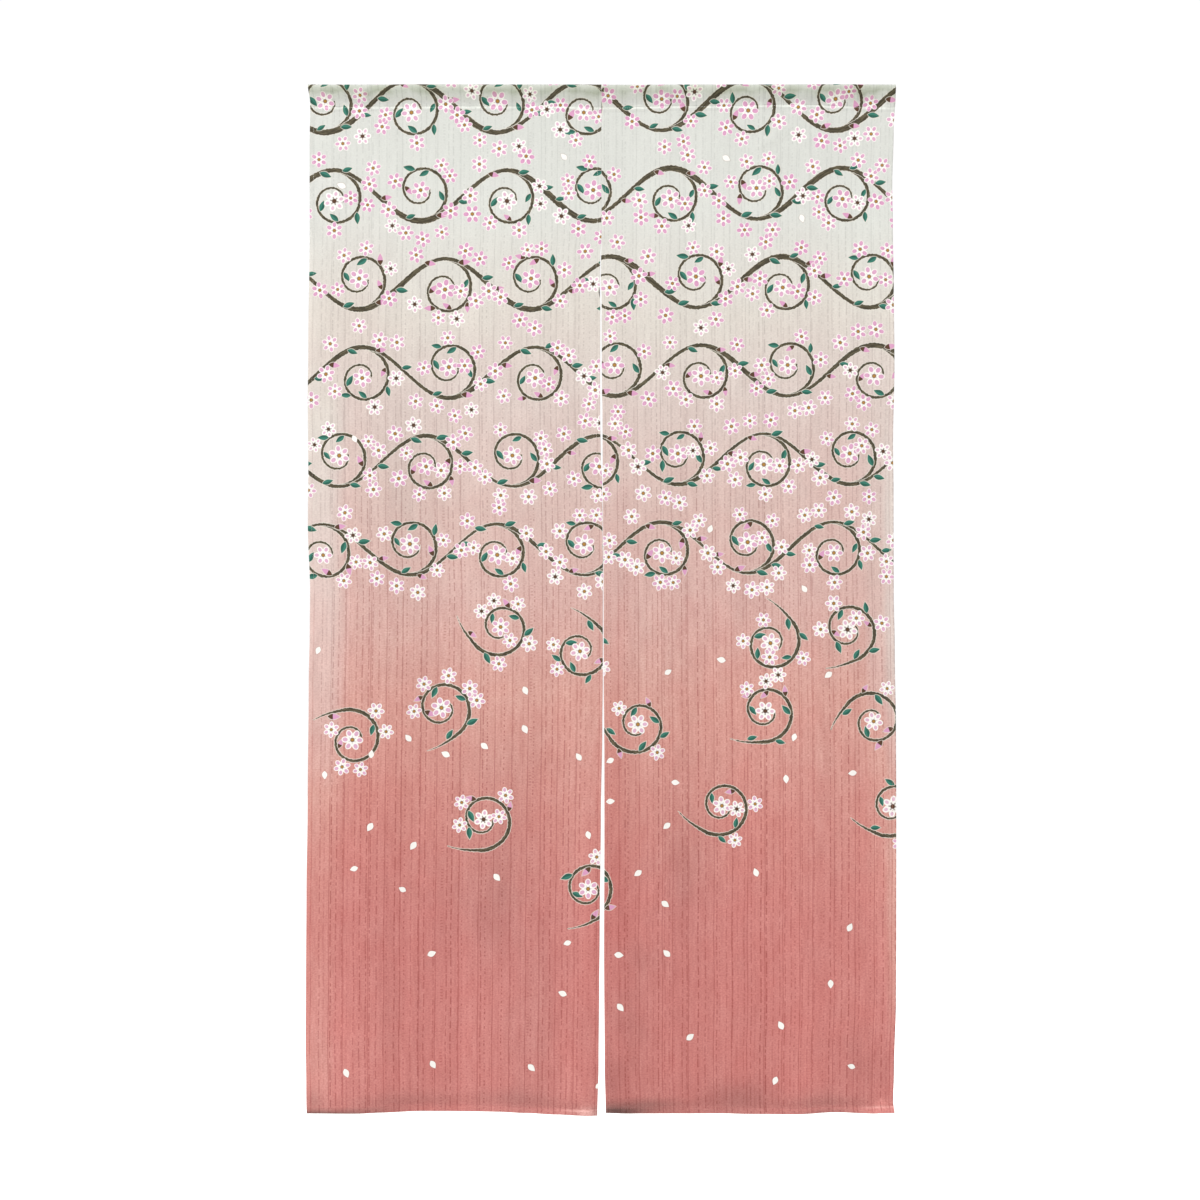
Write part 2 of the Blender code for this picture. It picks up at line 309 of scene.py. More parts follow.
# ------------------------------------------------------------------ how the cloth hangs
@dataclass(frozen=True)
class Drape:
    """The hanging shape of both lengths, as functions of a place on the cloth.

    A pucker's two numbers are its height and how far from its line of stitches it fades. A wander's are
    how far a wave is pushed along itself and over what length.
    """

    drop: float = 1500.0
    pocket: float = 34.0
    seam: float = 220.0
    half_width: float = 426.0
    lip: float = 9.5
    set_back: float = 25.0
    settles: float = 60.0             # drop below the pocket over which the cloth comes to hang free
    pucker_wave: float = 15.5
    pucker_wander: tuple[float, float] = (5.0, 37.0)
    side_wander: tuple[float, float] = (6.0, 51.0)
    side_stretch: float = 1.7         # a pucker down a side is longer than one across
    hem_pucker: tuple[float, float] = (0.22, 11.0)
    pocket_pucker: tuple[float, float] = (0.30, 16.0)
    side_pucker: tuple[float, float] = (0.20, 9.0)
    join_tuck: float = 0.9            # the join draws in where it starts, under the pocket
    join_starts: float = 48.0
    join_fades: tuple[float, float] = (4.5, 26.0)
    crease_whole: float = 0.35        # half the share of a crease that has its full height

    def edges(self, side: Side, drop: Array) -> tuple[Array, Array]:
        """Left and right edge of a length at a drop."""
        tables = (LEFT_OUTER, LEFT_INNER) if side is Side.LEFT else (RIGHT_INNER, RIGHT_OUTER)
        return eased(tables[0], drop), eased(tables[1], drop)

    def flat_edges(self, side: Side) -> tuple[float, float]:
        """Left and right edge of a length laid flat."""
        return (-self.half_width, 0.0) if side is Side.LEFT else (0.0, self.half_width)

    def folds(self, side: Side, x: Array, drop: Array) -> Array:
        """Forward standing of the main folds: sum of forward g(drop) exp(-((x - c) / reach)^2).

        Args:
            side: which length.
            x: hung places across, mm.
            drop: drops, mm.

        Returns:
            Forward distance, mm.
        """
        total = np.zeros(np.broadcast(x, drop).shape)
        for fold in FOLDS:
            if fold.x * side.value >= 0:
                growth = smooth_step((drop - fold.starts) / (fold.full - fold.starts))
                centre = fold.x + fold.lean * (drop / self.drop - 0.5)
                total += fold.forward * growth * np.exp(-(((x - centre) / fold.reach) ** 2))
        return total

    def pucker(self, x: Array) -> Array:
        """A short uneven wave along a crosswise line of stitches: sin(2 pi (x + w sin(x / p)) / L)."""
        far, pace = self.pucker_wander
        return np.sin(TAU * (x + far * np.sin(x / pace)) / self.pucker_wave)

    def relief(self, side: Side, x: Array, drop: Array) -> Array:
        """Small unevenness over the folds: ripples, puckers, creases and the turned hem.

        Ripples are h sin(2 pi (x + w sin(2 pi drop / p)) / L). A pucker is a short wave along a line of
        stitches times exp(-distance / fade). A crease is a ridge exp(-(beside / reach)^2) that fades
        beyond its ends.

        Args:
            side: which length.
            x: hung places across, mm.
            drop: drops, mm.

        Returns:
            Forward distance, mm.
        """
        phase = 0.9 * side.value
        free = smooth_step((drop - self.pocket) / self.settles)
        total = np.zeros(np.broadcast(x, drop).shape)
        for order, ripple in enumerate(RIPPLES):
            drift = ripple.wander * np.sin(TAU * drop / ripple.pace + 1.7 * order + phase)
            wave = np.sin(TAU * (x + drift) / ripple.wave + 2.3 * order)
            swell = 0.55 + 0.45 * np.sin(TAU * drop / (1.9 * ripple.pace) + order + 2.0 * phase)
            total += ripple.height * free * swell * wave
        low, high = self.edges(side, drop)
        from_hem, from_pocket, from_side = (np.maximum(away, 0.0) for away in (
            self.drop - drop, drop - self.pocket, np.minimum(x - low, high - x)))
        across = self.pucker(x)
        far, pace = self.side_wander
        down = TAU * (drop + far * np.sin(drop / pace)) / (self.side_stretch * self.pucker_wave)
        down = np.sin(down + phase)
        for (height, fade), wave, away, where in (
                (self.hem_pucker, across, from_hem, 1.0),
                (self.pocket_pucker, across, from_pocket, smooth_step(from_pocket / 5.0)),
                (self.side_pucker, down, from_side, free)):
            total += height * wave * np.exp(-away / fade) * where
        for crease in CREASES:
            run = np.array([crease.to_x - crease.x, crease.to_drop - crease.drop])
            span = float(np.hypot(*run))
            ahead = ((x - crease.x) * run[0] + (drop - crease.drop) * run[1]) / span
            beside = ((x - crease.x) * run[1] - (drop - crease.drop) * run[0]) / span
            beyond = np.maximum(np.abs(ahead - 0.5 * span) - self.crease_whole * span, 0.0)
            beyond = beyond / ((0.5 - self.crease_whole) * span)
            total += crease.forward * np.exp(-((beside / crease.reach) ** 2) - beyond ** 2) * free
        beside, below = self.join_fades
        below = (drop - self.join_starts) / below
        total -= self.join_tuck * np.exp(-np.abs(x) / beside) * np.exp(-(below ** 2))
        backs, lips = ((HEM_SET_BACK_LEFT, HEM_LIP_LEFT) if side is Side.LEFT
                       else (HEM_SET_BACK_RIGHT, HEM_LIP_RIGHT))
        sunk = smooth_step((self.set_back - from_hem) / (self.set_back - 0.6 * self.lip))
        turned = np.clip(1.0 - from_hem / self.lip, 0.0, 1.0) ** 1.4
        return total - eased(backs, x) * sunk + eased(lips, x) * turned

    def hung_across(self, side: Side, across: Array, drop: Array) -> Array:
        """Where a flat place across hangs: the same share of the way between the edges.

        Args:
            side: which length.
            across: flat places across, mm.
            drop: drops, mm.

        Returns:
            Hung places across, mm.
        """
        flat_low, flat_high = self.flat_edges(side)
        low, high = self.edges(side, drop)
        return low + (high - low) * (across - flat_low) / (flat_high - flat_low)

    def place(self, side: Side, across: Array, drop: Array) -> Array:
        """Hang a flat place: x between the edges, y = -(folds + relief), z = -(drop + hem line).

        Args:
            side: which length.
            across: flat places across, mm.
            drop: drops, mm.

        Returns:
            Points in metres, with a last axis of 3.
        """
        across, drop = np.broadcast_arrays(across, drop)
        x = self.hung_across(side, across, drop)
        sag = np.clip((drop - self.pocket) / (self.drop - self.pocket), 0.0, 1.0) ** 3
        y = -(self.folds(side, x, drop) + self.relief(side, x, drop))
        return np.stack([x, y, -(drop + eased(HEM_LINE, x) * sag)], axis=-1) * MM

    def normal(self, side: Side, across: Array, drop: Array) -> Array:
        """Unit normal towards the front, from central differences of place over 1 mm.

        Args:
            side: which length.
            across: flat places across, mm.
            drop: drops, mm.

        Returns:
            Unit normals, with a last axis of 3.
        """
        step = 0.5
        right = self.place(side, across + step, drop) - self.place(side, across - step, drop)
        down = self.place(side, across, drop + step) - self.place(side, across, drop - step)
        return unit(np.cross(down, right))


# ------------------------------------------------------------------ the print
# along a curl: how far round it, radians, and how far outside its stem, mm, or on which side of it
CURL_FLOWERS = ((1.0, 13.0), (1.75, 12.0), (2.6, 13.5), (3.3, 12.0), (4.2, 13.0), (5.0, 12.0),
                (1.9, -14.0), (3.9, -13.0))
CURL_LEAVES = ((-0.35, -1), (0.55, 1), (1.35, -1), (2.2, 1), (3.0, -1), (3.75, 1), (4.6, -1), (5.4, 1))
# along a stem, mm: across from a bend and how far beyond it, then across from midway or from the bend
BEND_FLOWERS = ((-46.0, -11.0), (-21.0, 1.0), (6.0, 7.0), (29.0, -2.0), (52.0, -14.0))
MIDWAY_FLOWERS = (-13.0, 6.0, 21.0)
STEM_LEAVES = (-55.0, -37.0, -16.0, 14.0, 33.0, 52.0, 71.0)


class MotifList:
    """Motifs of one kind: each row is its centre across and down, half length, turn and tone."""

    def __init__(self) -> None:
        """Start with no motif."""
        self.rows: list[tuple[float, ...]] = []

    def near(self, across: float, drop: float, reach: float, share: float, extra: float) -> bool:
        """Say whether a taken motif's centre is within share (reach + its reach) + extra."""
        return any(math.hypot(across - row[0], drop - row[1]) < share * (reach + row[2]) + extra
                   for row in self.rows)

    def take(self, *motif: float) -> None:
        """Keep a motif."""
        self.rows.append(motif)


class Curl(NamedTuple):
    """A curl: its centre, the way it turns, the angle at which it starts and the length of its tail."""

    across: float
    drop: float
    hand: float
    start: float
    tail: float


@dataclass
class ScrollPrint:
    """A flower scroll: rows of waving stems, each bend curling in on a flower, thinning downwards.

    Stem k runs along drop = first + pitch k + rise cos(2 pi (across + shift_k) / wave). At each crest
    and trough a curl leaves it, whose radius falls from outer to inner over its turns. Below the last
    whole row the curls stand alone, each with a tapering tail.
    """

    first: float = -96.0
    pitch: float = 129.0
    rows: int = 12
    whole_rows: int = 7
    wave: float = 252.0
    rise: float = 37.0
    outer: float = 45.0
    inner: float = 13.0
    turns: float = 1.25
    short_tail: float = 0.12
    tail: float = 0.95
    stem: float = 4.1
    twig: float = 2.6
    fades_from: float = 700.0
    gone_by: float = 1400.0
    bloom: float = 13.4
    strays: tuple[float, float, float] = (26.0, 15.0, 0.7)    # a lone curl's, across, down and in turn
    apart: float = 2.1                # least distance between lone curls, in outer radii
    turned_over: float = 0.12         # share of the flowers that show their backs
    buds: float = 0.34
    scattered: int = 700              # tries at a loose petal, within half_width, from high to low
    half_width: float = 418.0
    high: float = 60.0
    low: float = 1468.0
    petals_apart: float = 44.0
    seed: int = 23
    curls: list[Curl] = field(default_factory=list)
    blooms: list[MotifList] = field(default_factory=lambda: [MotifList(), MotifList()])
    leaves: MotifList = field(default_factory=MotifList)
    petals: MotifList = field(default_factory=MotifList)

    def __post_init__(self) -> None:
        """Place every curl, flower, leaf and loose petal, from the print's own random numbers."""
        self.draw = np.random.default_rng(self.seed)
        for row in range(self.rows):
            for bend in range(-6, 7):
                across = 0.5 * self.wave * bend - self.shift(row)
                if abs(across) <= 520.0:
                    self._lay_bend(row, across, 1.0 if bend % 2 == 0 else -1.0)
        self._lay_loose_petals()

    def shift(self, row: int) -> float:
        """Sideways shift of a row's wave: rows alternate by half a wave, with a slow drift."""
        return 0.5 * self.wave * (row % 2) + 31.0 * math.sin(1.3 * row)

    def stem_drop(self, row: int, across: Array) -> Array:
        """Drop of a row's stem."""
        wave = np.cos(TAU * (across + self.shift(row)) / self.wave)
        return self.first + self.pitch * row + self.rise * wave

    def kept(self, drop: float) -> float:
        """Share of the motifs that stay at a drop."""
        return 1.0 - float(smooth_step((drop - self.fades_from) / (self.gone_by - self.fades_from)))

    def curl_radius(self, angle: Array) -> Array:
        """Radius of a curl's stem after an angle a: outer - (outer - inner) (a / whole)^0.9.

        Before it, along the tail, the radius is outer (1 + 0.5 a^2), which runs out almost straight.

        Args:
            angle: how far round from where the curl starts, radians.

        Returns:
            The radius, mm.
        """
        share = np.clip(angle / (TAU * self.turns), 0.0, 1.0) ** 0.9
        inward = self.outer - (self.outer - self.inner) * share
        return inward + 0.5 * self.outer * np.minimum(angle, 0.0) ** 2

    def beside_curl(self, curl: Curl, angle: float, lift: float) -> tuple[float, float, float]:
        """Place that lies lift outside a curl's stem at an angle, and the way outwards there.

        Args:
            curl: the curl.
            angle: how far round from its start, radians.
            lift: how far outside its stem, mm.

        Returns:
            Place across, place down and the angle outwards.
        """
        radius = float(self.curl_radius(np.array(angle))) + lift
        turn = curl.start + curl.hand * angle
        return curl.across + radius * math.cos(turn), curl.drop + radius * math.sin(turn), turn

    def _lay_bend(self, row: int, across: float, down: float) -> None:
        """Place what grows at one crest or trough of a row's stem.

        Args:
            row: which stem.
            across: where the bend is.
            down: 1 at a trough, whose curl is above it, and -1 at a crest.
        """
        base, start = self.first + self.pitch * row, 0.5 * math.pi * down
        centre = base + down * (self.rise - self.outer)
        curl = Curl(across, centre, -down, start, self.short_tail)
        whole = row < self.whole_rows
        if not whole:
            shift, lift, turn = self.draw.standard_normal(3) * self.strays
            curl = Curl(across + shift, centre + lift, -down, start + turn, self.tail)
        crowd = any(math.hypot(curl.across - taken.across, curl.drop - taken.drop)
                    < self.apart * self.outer for taken in self.curls)
        if whole or (not crowd and self.draw.random() < 0.9 * self.kept(base)):
            self._lay_curl(curl)
        if whole:
            self._lay_stem(row, across, down)

    def _lay_curl(self, curl: Curl) -> None:
        """Keep a curl, with a flower in it and flowers and leaves on both sides of its stem.

        Args:
            curl: the curl.
        """
        self.curls.append(curl)
        self._bloom(curl.across, curl.drop, 1.10, 9.0)
        for angle, lift in CURL_FLOWERS:
            angle += 0.22 * self.draw.standard_normal()
            self._bloom(*self.beside_curl(curl, angle, lift)[:2], 0.90, 0.74)
        for angle, side in CURL_LEAVES:
            angle += 0.10 * self.draw.standard_normal()
            across, drop, turn = self.beside_curl(curl, angle, 7.0 * side)
            self._leaf(across, drop, turn + curl.hand * (0.5 * math.pi) - side * curl.hand * 0.7, 0.9)

    def _lay_stem(self, row: int, across: float, down: float) -> None:
        """Place the flowers and leaves along a row's stem at one bend.

        Args:
            row: which stem.
            across: where the bend is.
            down: 1 at a trough and -1 at a crest.
        """
        base, wander = self.first + self.pitch * row, self.draw.standard_normal
        beyond = base + down * (self.rise + 17.0)
        for offset, lift in BEND_FLOWERS:
            self._bloom(across + offset + 4.0 * wander(), beyond + down * lift + 3.0 * wander(), 0.92, 0.70)
        middle = across + 0.25 * self.wave
        for offset in MIDWAY_FLOWERS:
            self._bloom(middle + offset + 4.0 * wander(), base + 1.2 * offset + 5.0 * wander(), 0.94, 0.72)
        for step in STEM_LEAVES:
            place = across + step + 3.0 * wander()
            here, ahead = self.stem_drop(row, np.array([place, place + 1.0]))
            turn = math.atan2(ahead - here, 1.0) + math.copysign(0.85, step * down)
            self._leaf(place + 9.0 * math.cos(turn), here + 9.0 * math.sin(turn), turn, 0.85)

    def _bloom(self, across: float, drop: float, size: float, chance: float) -> None:
        """Take a flower if it is in a layer's free space and the draw keeps it.

        Args:
            across: place across.
            drop: place down.
            size: share of the print's flower.
            chance: share of such flowers that are kept where the print is full.
        """
        reach = self.bloom * size * (0.93 + 0.14 * self.draw.random())
        turn, tone, luck = self.draw.random() * TAU, self.draw.random(), self.draw.random()
        if luck > chance * self.kept(drop) or drop > self.gone_by:
            return
        # flowers further down are whiter, and a few show their backs
        tone = 0.45 * tone + 0.4 * float(smooth_step((drop - 250.0) / 600.0))
        tone = 0.95 if self.draw.random() < self.turned_over else tone
        if any(layer.near(across, drop, reach, 0.70, 0.0) for layer in self.blooms):
            return
        for layer in self.blooms:
            if not layer.near(across, drop, reach, 1.0, 7.5):
                layer.take(across, drop, reach, turn, tone)
                return

    def _leaf(self, across: float, drop: float, turn: float, chance: float) -> None:
        """Take a leaf, or now and then a bud, where no other leaf or flower's middle is.

        Args:
            across: place across, mm.
            drop: place down, mm.
            turn: the way that it points, radians.
            chance: share of them that are kept where the print is full.
        """
        reach, tone = 7.2 + 2.0 * self.draw.random(), self.draw.random()
        kind, luck = (1.0 if self.draw.random() < self.buds else 0.0), self.draw.random()
        if luck > chance * (0.25 + self.kept(drop)) or self.leaves.near(across, drop, 5.0, 1.0, 8.0):
            return
        if not any(layer.near(across, drop, 0.0, 0.78, 1.0) for layer in self.blooms):
            self.leaves.take(across, drop, reach, turn, kind + 0.98 * tone)

    def _lay_loose_petals(self) -> None:
        """Scatter loose petals, more of them where the flowers thin out."""
        for _ in range(self.scattered):
            across = self.draw.uniform(-self.half_width, self.half_width)
            drop = self.draw.uniform(self.high, self.low)
            turn, tone, luck = self.draw.random() * TAU, self.draw.random(), self.draw.random()
            wanted = 0.10 + 0.16 * float(smooth_step((drop - 600.0) / 500.0))
            taken = any(layer.near(across, drop, 5.0, 1.0, 3.0) for layer in self.blooms)
            if luck > wanted or taken or self.leaves.near(across, drop, 5.0, 1.0, 5.0):
                continue
            if not self.petals.near(across, drop, 5.0, 1.0, self.petals_apart):
                self.petals.take(across, drop, 5.9 + 1.1 * tone, turn, 2.0 + 0.98 * tone)

    # -------------------------------------------------------------- the print on a mesh's faces
    @staticmethod
    def _nearest(places: Array, centres: Array) -> Array:
        """Index of the row of centres that is nearest to each place, worked out in blocks.

        Args:
            places: places by 2.
            centres: rows whose first two columns are a place.

        Returns:
            One index for each place.
        """
        return np.concatenate([
            np.argmin(np.hypot(block[:, :1] - centres[:, 0], block[:, 1:] - centres[:, 1]), axis=1)
            for block in np.array_split(places, 1 + len(places) // 8192)])

    def local(self, corners: Array, motifs: MotifList) -> Array:
        """Corner places in the frame of the motif nearest to their face.

        A face takes one motif for all its corners, so the motif's own coordinates, which are turned and
        divided by its reach, run straight across the face and its outline stays sharp at any size.

        Args:
            corners: faces by 4 corners by (across, drop), mm.
            motifs: the motifs to look among.

        Returns:
            Faces by 4 by (along, athwart, tone).
        """
        table = np.array(motifs.rows, dtype=float)
        own = table[self._nearest(corners.mean(axis=1), table)][:, None, :]
        offset, reach, turn = corners - own[..., :2], own[..., 2], own[..., 3]
        along = (offset[..., 0] * np.cos(turn) + offset[..., 1] * np.sin(turn)) / reach
        athwart = (offset[..., 1] * np.cos(turn) - offset[..., 0] * np.sin(turn)) / reach
        return np.stack([along, athwart, np.broadcast_to(own[..., 4], along.shape)], axis=-1)

    def stem_at(self, corners: Array) -> Array:
        """Corner places beside the nearest row's stem: (across it, along it, half its width), mm.

        Across is (drop - f) / sqrt(1 + f'^2) for the stem drop = f(across).

        Args:
            corners: faces by 4 corners by (across, drop), mm.

        Returns:
            Faces by 4 by 3.
        """
        middle = corners.mean(axis=1)
        rows = range(self.whole_rows)
        drops = np.stack([self.stem_drop(row, middle[:, 0]) for row in rows], axis=-1)
        pick = np.argmin(np.abs(drops - middle[:, 1:2]), axis=1)[:, None]
        base = self.first + self.pitch * pick
        across, drop = corners[..., 0], corners[..., 1]
        angle = TAU * (across + np.array([self.shift(row) for row in rows])[pick]) / self.wave
        slope = -self.rise * TAU / self.wave * np.sin(angle)
        beside = (drop - base - self.rise * np.cos(angle)) / np.sqrt(1.0 + slope * slope)
        slimmer = 1.0 - 0.36 * smooth_step((base - 200.0) / 450.0)
        half = self.stem * slimmer * (0.86 + 0.20 * np.sin(across / 31.0 + 1.9 * pick))
        return np.stack([beside, across + 37.0 * pick, half], axis=-1)

    def curl_at(self, corners: Array) -> Array:
        """Corner places beside the nearest curl's stem: (across it, along it, half its width), mm.

        In the curl's polar frame across is rho - R(angle), with the turn chosen for the whole face.

        Args:
            corners: faces by 4 corners by (across, drop), mm.

        Returns:
            Faces by 4 by 3, the half width far below 0 where no curl is near.
        """
        table = np.array(self.curls)
        middle = corners.mean(axis=1)
        pick = self._nearest(middle, table)
        centre, hand, start, tail = table[pick, :2], table[pick, 2], table[pick, 3], table[pick, 4:]
        offset = middle - centre
        way = np.arctan2(offset[:, 1], offset[:, 0])
        first = np.mod(hand * (way - start), TAU)
        turns = np.stack([first - TAU, first, first + TAU], axis=-1)
        whole = TAU * self.turns
        miss = np.abs(np.hypot(offset[:, :1], offset[:, 1:]) - self.curl_radius(turns))
        miss = np.where((turns > -tail) & (turns < whole), miss, 1e6)
        angle = np.take_along_axis(turns, np.argmin(miss, axis=1)[:, None], axis=1)
        here = corners - centre[:, None, :]
        swing = np.arctan2(here[..., 1], here[..., 0]) - way[:, None]
        angle = angle + hand[:, None] * (np.mod(swing + math.pi, TAU) - math.pi)
        beside = np.hypot(here[..., 0], here[..., 1]) - self.curl_radius(angle)
        taper = 1.0 - 0.55 * np.clip(angle / whole, 0.0, 1.0)
        taper = taper * np.clip(1.0 + angle / tail, 0.0, 1.0) ** 0.7
        half = np.where(miss.min(axis=1)[:, None] > 14.0, -9.0, self.twig * taper)
        return np.stack([beside, angle * self.outer + 53.0 * pick[:, None], half], axis=-1)


# ------------------------------------------------------------------ meshes
def quads(index: Array) -> Array:
    """Faces of a grid of vertex numbers, turning left to right and down to face out of the page."""
    return np.stack([index[:-1, :-1], index[1:, :-1], index[1:, 1:], index[:-1, 1:]],
                    axis=-1).reshape(-1, 4)


def put(places: Any, key: str, values: Array, kind: type = np.float32) -> None:
    """Copy an array into one property of all the items of a Blender collection."""
    places.foreach_set(key, np.ascontiguousarray(values, dtype=kind).ravel())


def solid_mesh(name: str, points: Array, faces: Array) -> Mesh:
    """Put arrays of points and of equal-sided faces into a mesh, shaded smooth.

    Args:
        name: the mesh's name.
        points: vertices by 3, metres.
        faces: faces by corners, vertex numbers.

    Returns:
        The mesh.
    """
    mesh = bpy.data.meshes.new(name)
    count, sides = faces.shape
    mesh.vertices.add(len(points))
    put(mesh.vertices, "co", points)
    mesh.loops.add(count * sides)
    put(mesh.loops, "vertex_index", faces, np.int32)
    mesh.polygons.add(count)
    put(mesh.polygons, "loop_start", np.arange(0, count * sides, sides), np.int32)
    put(mesh.polygons, "use_smooth", np.ones(count), bool)
    mesh.update(calc_edges=True)
    return mesh


def store(mesh: Mesh, name: str, values: Array) -> None:
    """Store one number, or three, for each face corner."""
    kind, key = ("FLOAT_VECTOR", "vector") if values.ndim == 3 else ("FLOAT", "value")
    put(mesh.attributes.new(name, kind, "CORNER").data, key, values)


def add_object(mesh: Mesh, finish: Material) -> Object:
    """Link a mesh as an object of its own name, at the origin, with one finish.

    Args:
        mesh: the mesh.
        finish: its material.

    Returns:
        The object.
    """
    made = bpy.data.objects.new(mesh.name, mesh)
    made.data.materials.append(finish)
    bpy.context.scene.collection.objects.link(made)
    return made


@dataclass
class ClothPatch:
    """A closed sheet as two grids of points that meet at their rims, with its places on the cloth."""

    middle: Array
    out: Array
    inward: Array
    across: Array
    drop: Array

    def normals(self) -> Array:
        """Outward normals of the middle grid: rows' difference crossed with columns' difference."""
        return unit(np.cross(np.gradient(self.middle, axis=0), np.gradient(self.middle, axis=1)))

    def mesh(self, name: str) -> Mesh:
        """Build the closed mesh: outer = middle + n out, inner = middle - n inward, rims shared.

        Args:
            name: the mesh's name.

        Returns:
            The mesh, its first half of faces the outer side.
        """
        rows, columns = self.across.shape
        normal = self.normals()
        outer = self.middle + normal * self.out[..., None] * MM
        inner = self.middle - normal * self.inward[..., None] * MM
        outer_index = np.arange(rows * columns).reshape(rows, columns)
        inner_index = outer_index.copy()
        inside = (slice(1, -1), slice(1, -1))
        spare = np.arange((rows - 2) * (columns - 2)).reshape(rows - 2, columns - 2)
        inner_index[inside] = rows * columns + spare
        points = np.concatenate([outer.reshape(-1, 3), inner[inside].reshape(-1, 3)])
        return solid_mesh(name, points, np.concatenate([
            quads(outer_index), quads(inner_index)[:, ::-1]]))

    def corners(self) -> Array:
        """Cloth places of every face's corners, in the mesh's own face order.

        Returns:
            Faces by 4 corners by (across, drop), mm.
        """
        flat = np.stack([self.across.ravel(), self.drop.ravel()], axis=-1)
        index = quads(np.arange(self.across.size).reshape(self.across.shape))
        return np.concatenate([flat[index], flat[index[:, ::-1]]])


# ------------------------------------------------------------------ dye of the ground
@dataclass(frozen=True)
class Ground:
    """Where along its graded dye the cloth is: the outer margins of the dyed width lag behind.

    A step's two numbers are where it starts and how wide it is, mm.
    """

    length: float = 1500.0
    left_step: tuple[float, float] = (362.0, 36.0)
    right_step: tuple[float, float] = (378.0, 16.0)
    right_share: float = 0.40         # of the right margin's lag at this step
    outer_step: tuple[float, float] = (403.0, 20.0)
    outer_share: float = 0.85         # and at this one, with what it gains down the cloth
    outer_gain: float = 0.75
    gain_step: tuple[float, float] = (1080.0, 120.0)
    cloud: float = 15.0
    # a band of painted light on the outer hems: its step in from the edge, the drop it starts from, and its
    # share on the left and right
    hem_step: tuple[float, float] = (417.0, 4.0)
    hem_from: tuple[float, float] = (150.0, 180.0)
    hem_painted_light: tuple[float, float] = (0.095, 0.045)

    @staticmethod
    def rise(value: Array, step: tuple[float, float]) -> Array:
        """0 before a step and 1 after it."""
        return smooth_step((value - step[0]) / step[1])

    def depth(self, across: Array, drop: Array) -> Array:
        """Place on the graded dye: (drop - lag + cloud) / length.

        The lag is each margin's table times its steps in from the edge. The cloud is
        c sin(across / 71 + 0.6 sin(drop / 57)) sin(drop / 93 + 0.8).

        Args:
            across: flat places across, mm.
            drop: drops, mm.

        Returns:
            The place on the dye.
        """
        left = self.rise(-across, self.left_step) * eased(LEFT_LAG, drop)
        outer = self.outer_share + self.outer_gain * self.rise(drop, self.gain_step)
        steps = (self.right_share * self.rise(across, self.right_step)
                 + outer * self.rise(across, self.outer_step))
        cloud = self.cloud * np.sin(across / 71.0 + 0.6 * np.sin(drop / 57.0)) * np.sin(drop / 93.0 + 0.8)
        return (drop - (left + steps * eased(RIGHT_LAG, drop)) + cloud) / self.length

    def dye_and_light_factors(self, across: Array, drop: Array) -> Array:
        """Factors for the colour: light (1, 1 + p, 1 + p), from sums over the dye patches and their painted
        light and shade.

        Each adds its share times exp(-(dx / across)^2 - (dd / down)^2). The outer hems are lighter by a
        band of painted light.

        Args:
            across: flat places across, mm.
            drop: drops, mm.

        Returns:
            Factors with a last axis of 3.
        """
        light, pale = np.ones(across.shape), np.ones(across.shape)
        # dye patches; their lighter shares also paint fold shade, and the hem rows are painted shade and
        # painted highlights
        for dye_and_light in DYE_AND_PAINTED_LIGHT:
            spread = np.exp(-(((across - dye_and_light.x) / dye_and_light.across) ** 2)
                            - ((np.abs(drop) - dye_and_light.drop) / dye_and_light.down) ** 2)
            light += dye_and_light.lighter * spread
            pale += dye_and_light.paler * spread
        # painted light on the outer hems
        band = self.rise(np.abs(across), self.hem_step) * self.rise(drop, self.hem_from)
        light += np.where(across < 0.0, *self.hem_painted_light) * band
        return np.stack([light, light * pale, light * pale], axis=-1)


def dress_corners(mesh: Mesh, corners: Array, printed: ScrollPrint, side: Side) -> None:
    """Store what the cloth finish reads: place on the cloth, dye, dye patches with painted light and shade,
    print and which side of the cloth.

    The two lengths are cut from one printed width and lose a strip to the hems at their join, so the
    right length's print starts a little further on.

    Args:
        mesh: a mesh from ClothPatch.
        corners: its corners' cloth places, faces by 4 by 2.
        printed: the print.
        side: which length.
    """
    across, drop = corners[..., 0], corners[..., 1]
    back = np.zeros(across.shape)
    back[len(corners) // 2:] = 1.0
    inked = corners + (np.array([9.0, 3.0]) if side is Side.RIGHT else np.array([-4.0, 0.0]))
    store(mesh, "cloth", np.stack([across, drop, back], axis=-1))
    store(mesh, "dye", Ground().depth(across, drop))
    # dye patches with painted light and shade
    store(mesh, "dye_and_light", Ground().dye_and_light_factors(across, drop))
    for name, motifs in (("bloom_under", printed.blooms[0]), ("bloom_over", printed.blooms[1]),
                         ("leaf", printed.leaves), ("petal", printed.petals)):
        store(mesh, name, printed.local(inked, motifs))
    store(mesh, "stem", printed.stem_at(inked))
    store(mesh, "curl", printed.curl_at(inked))


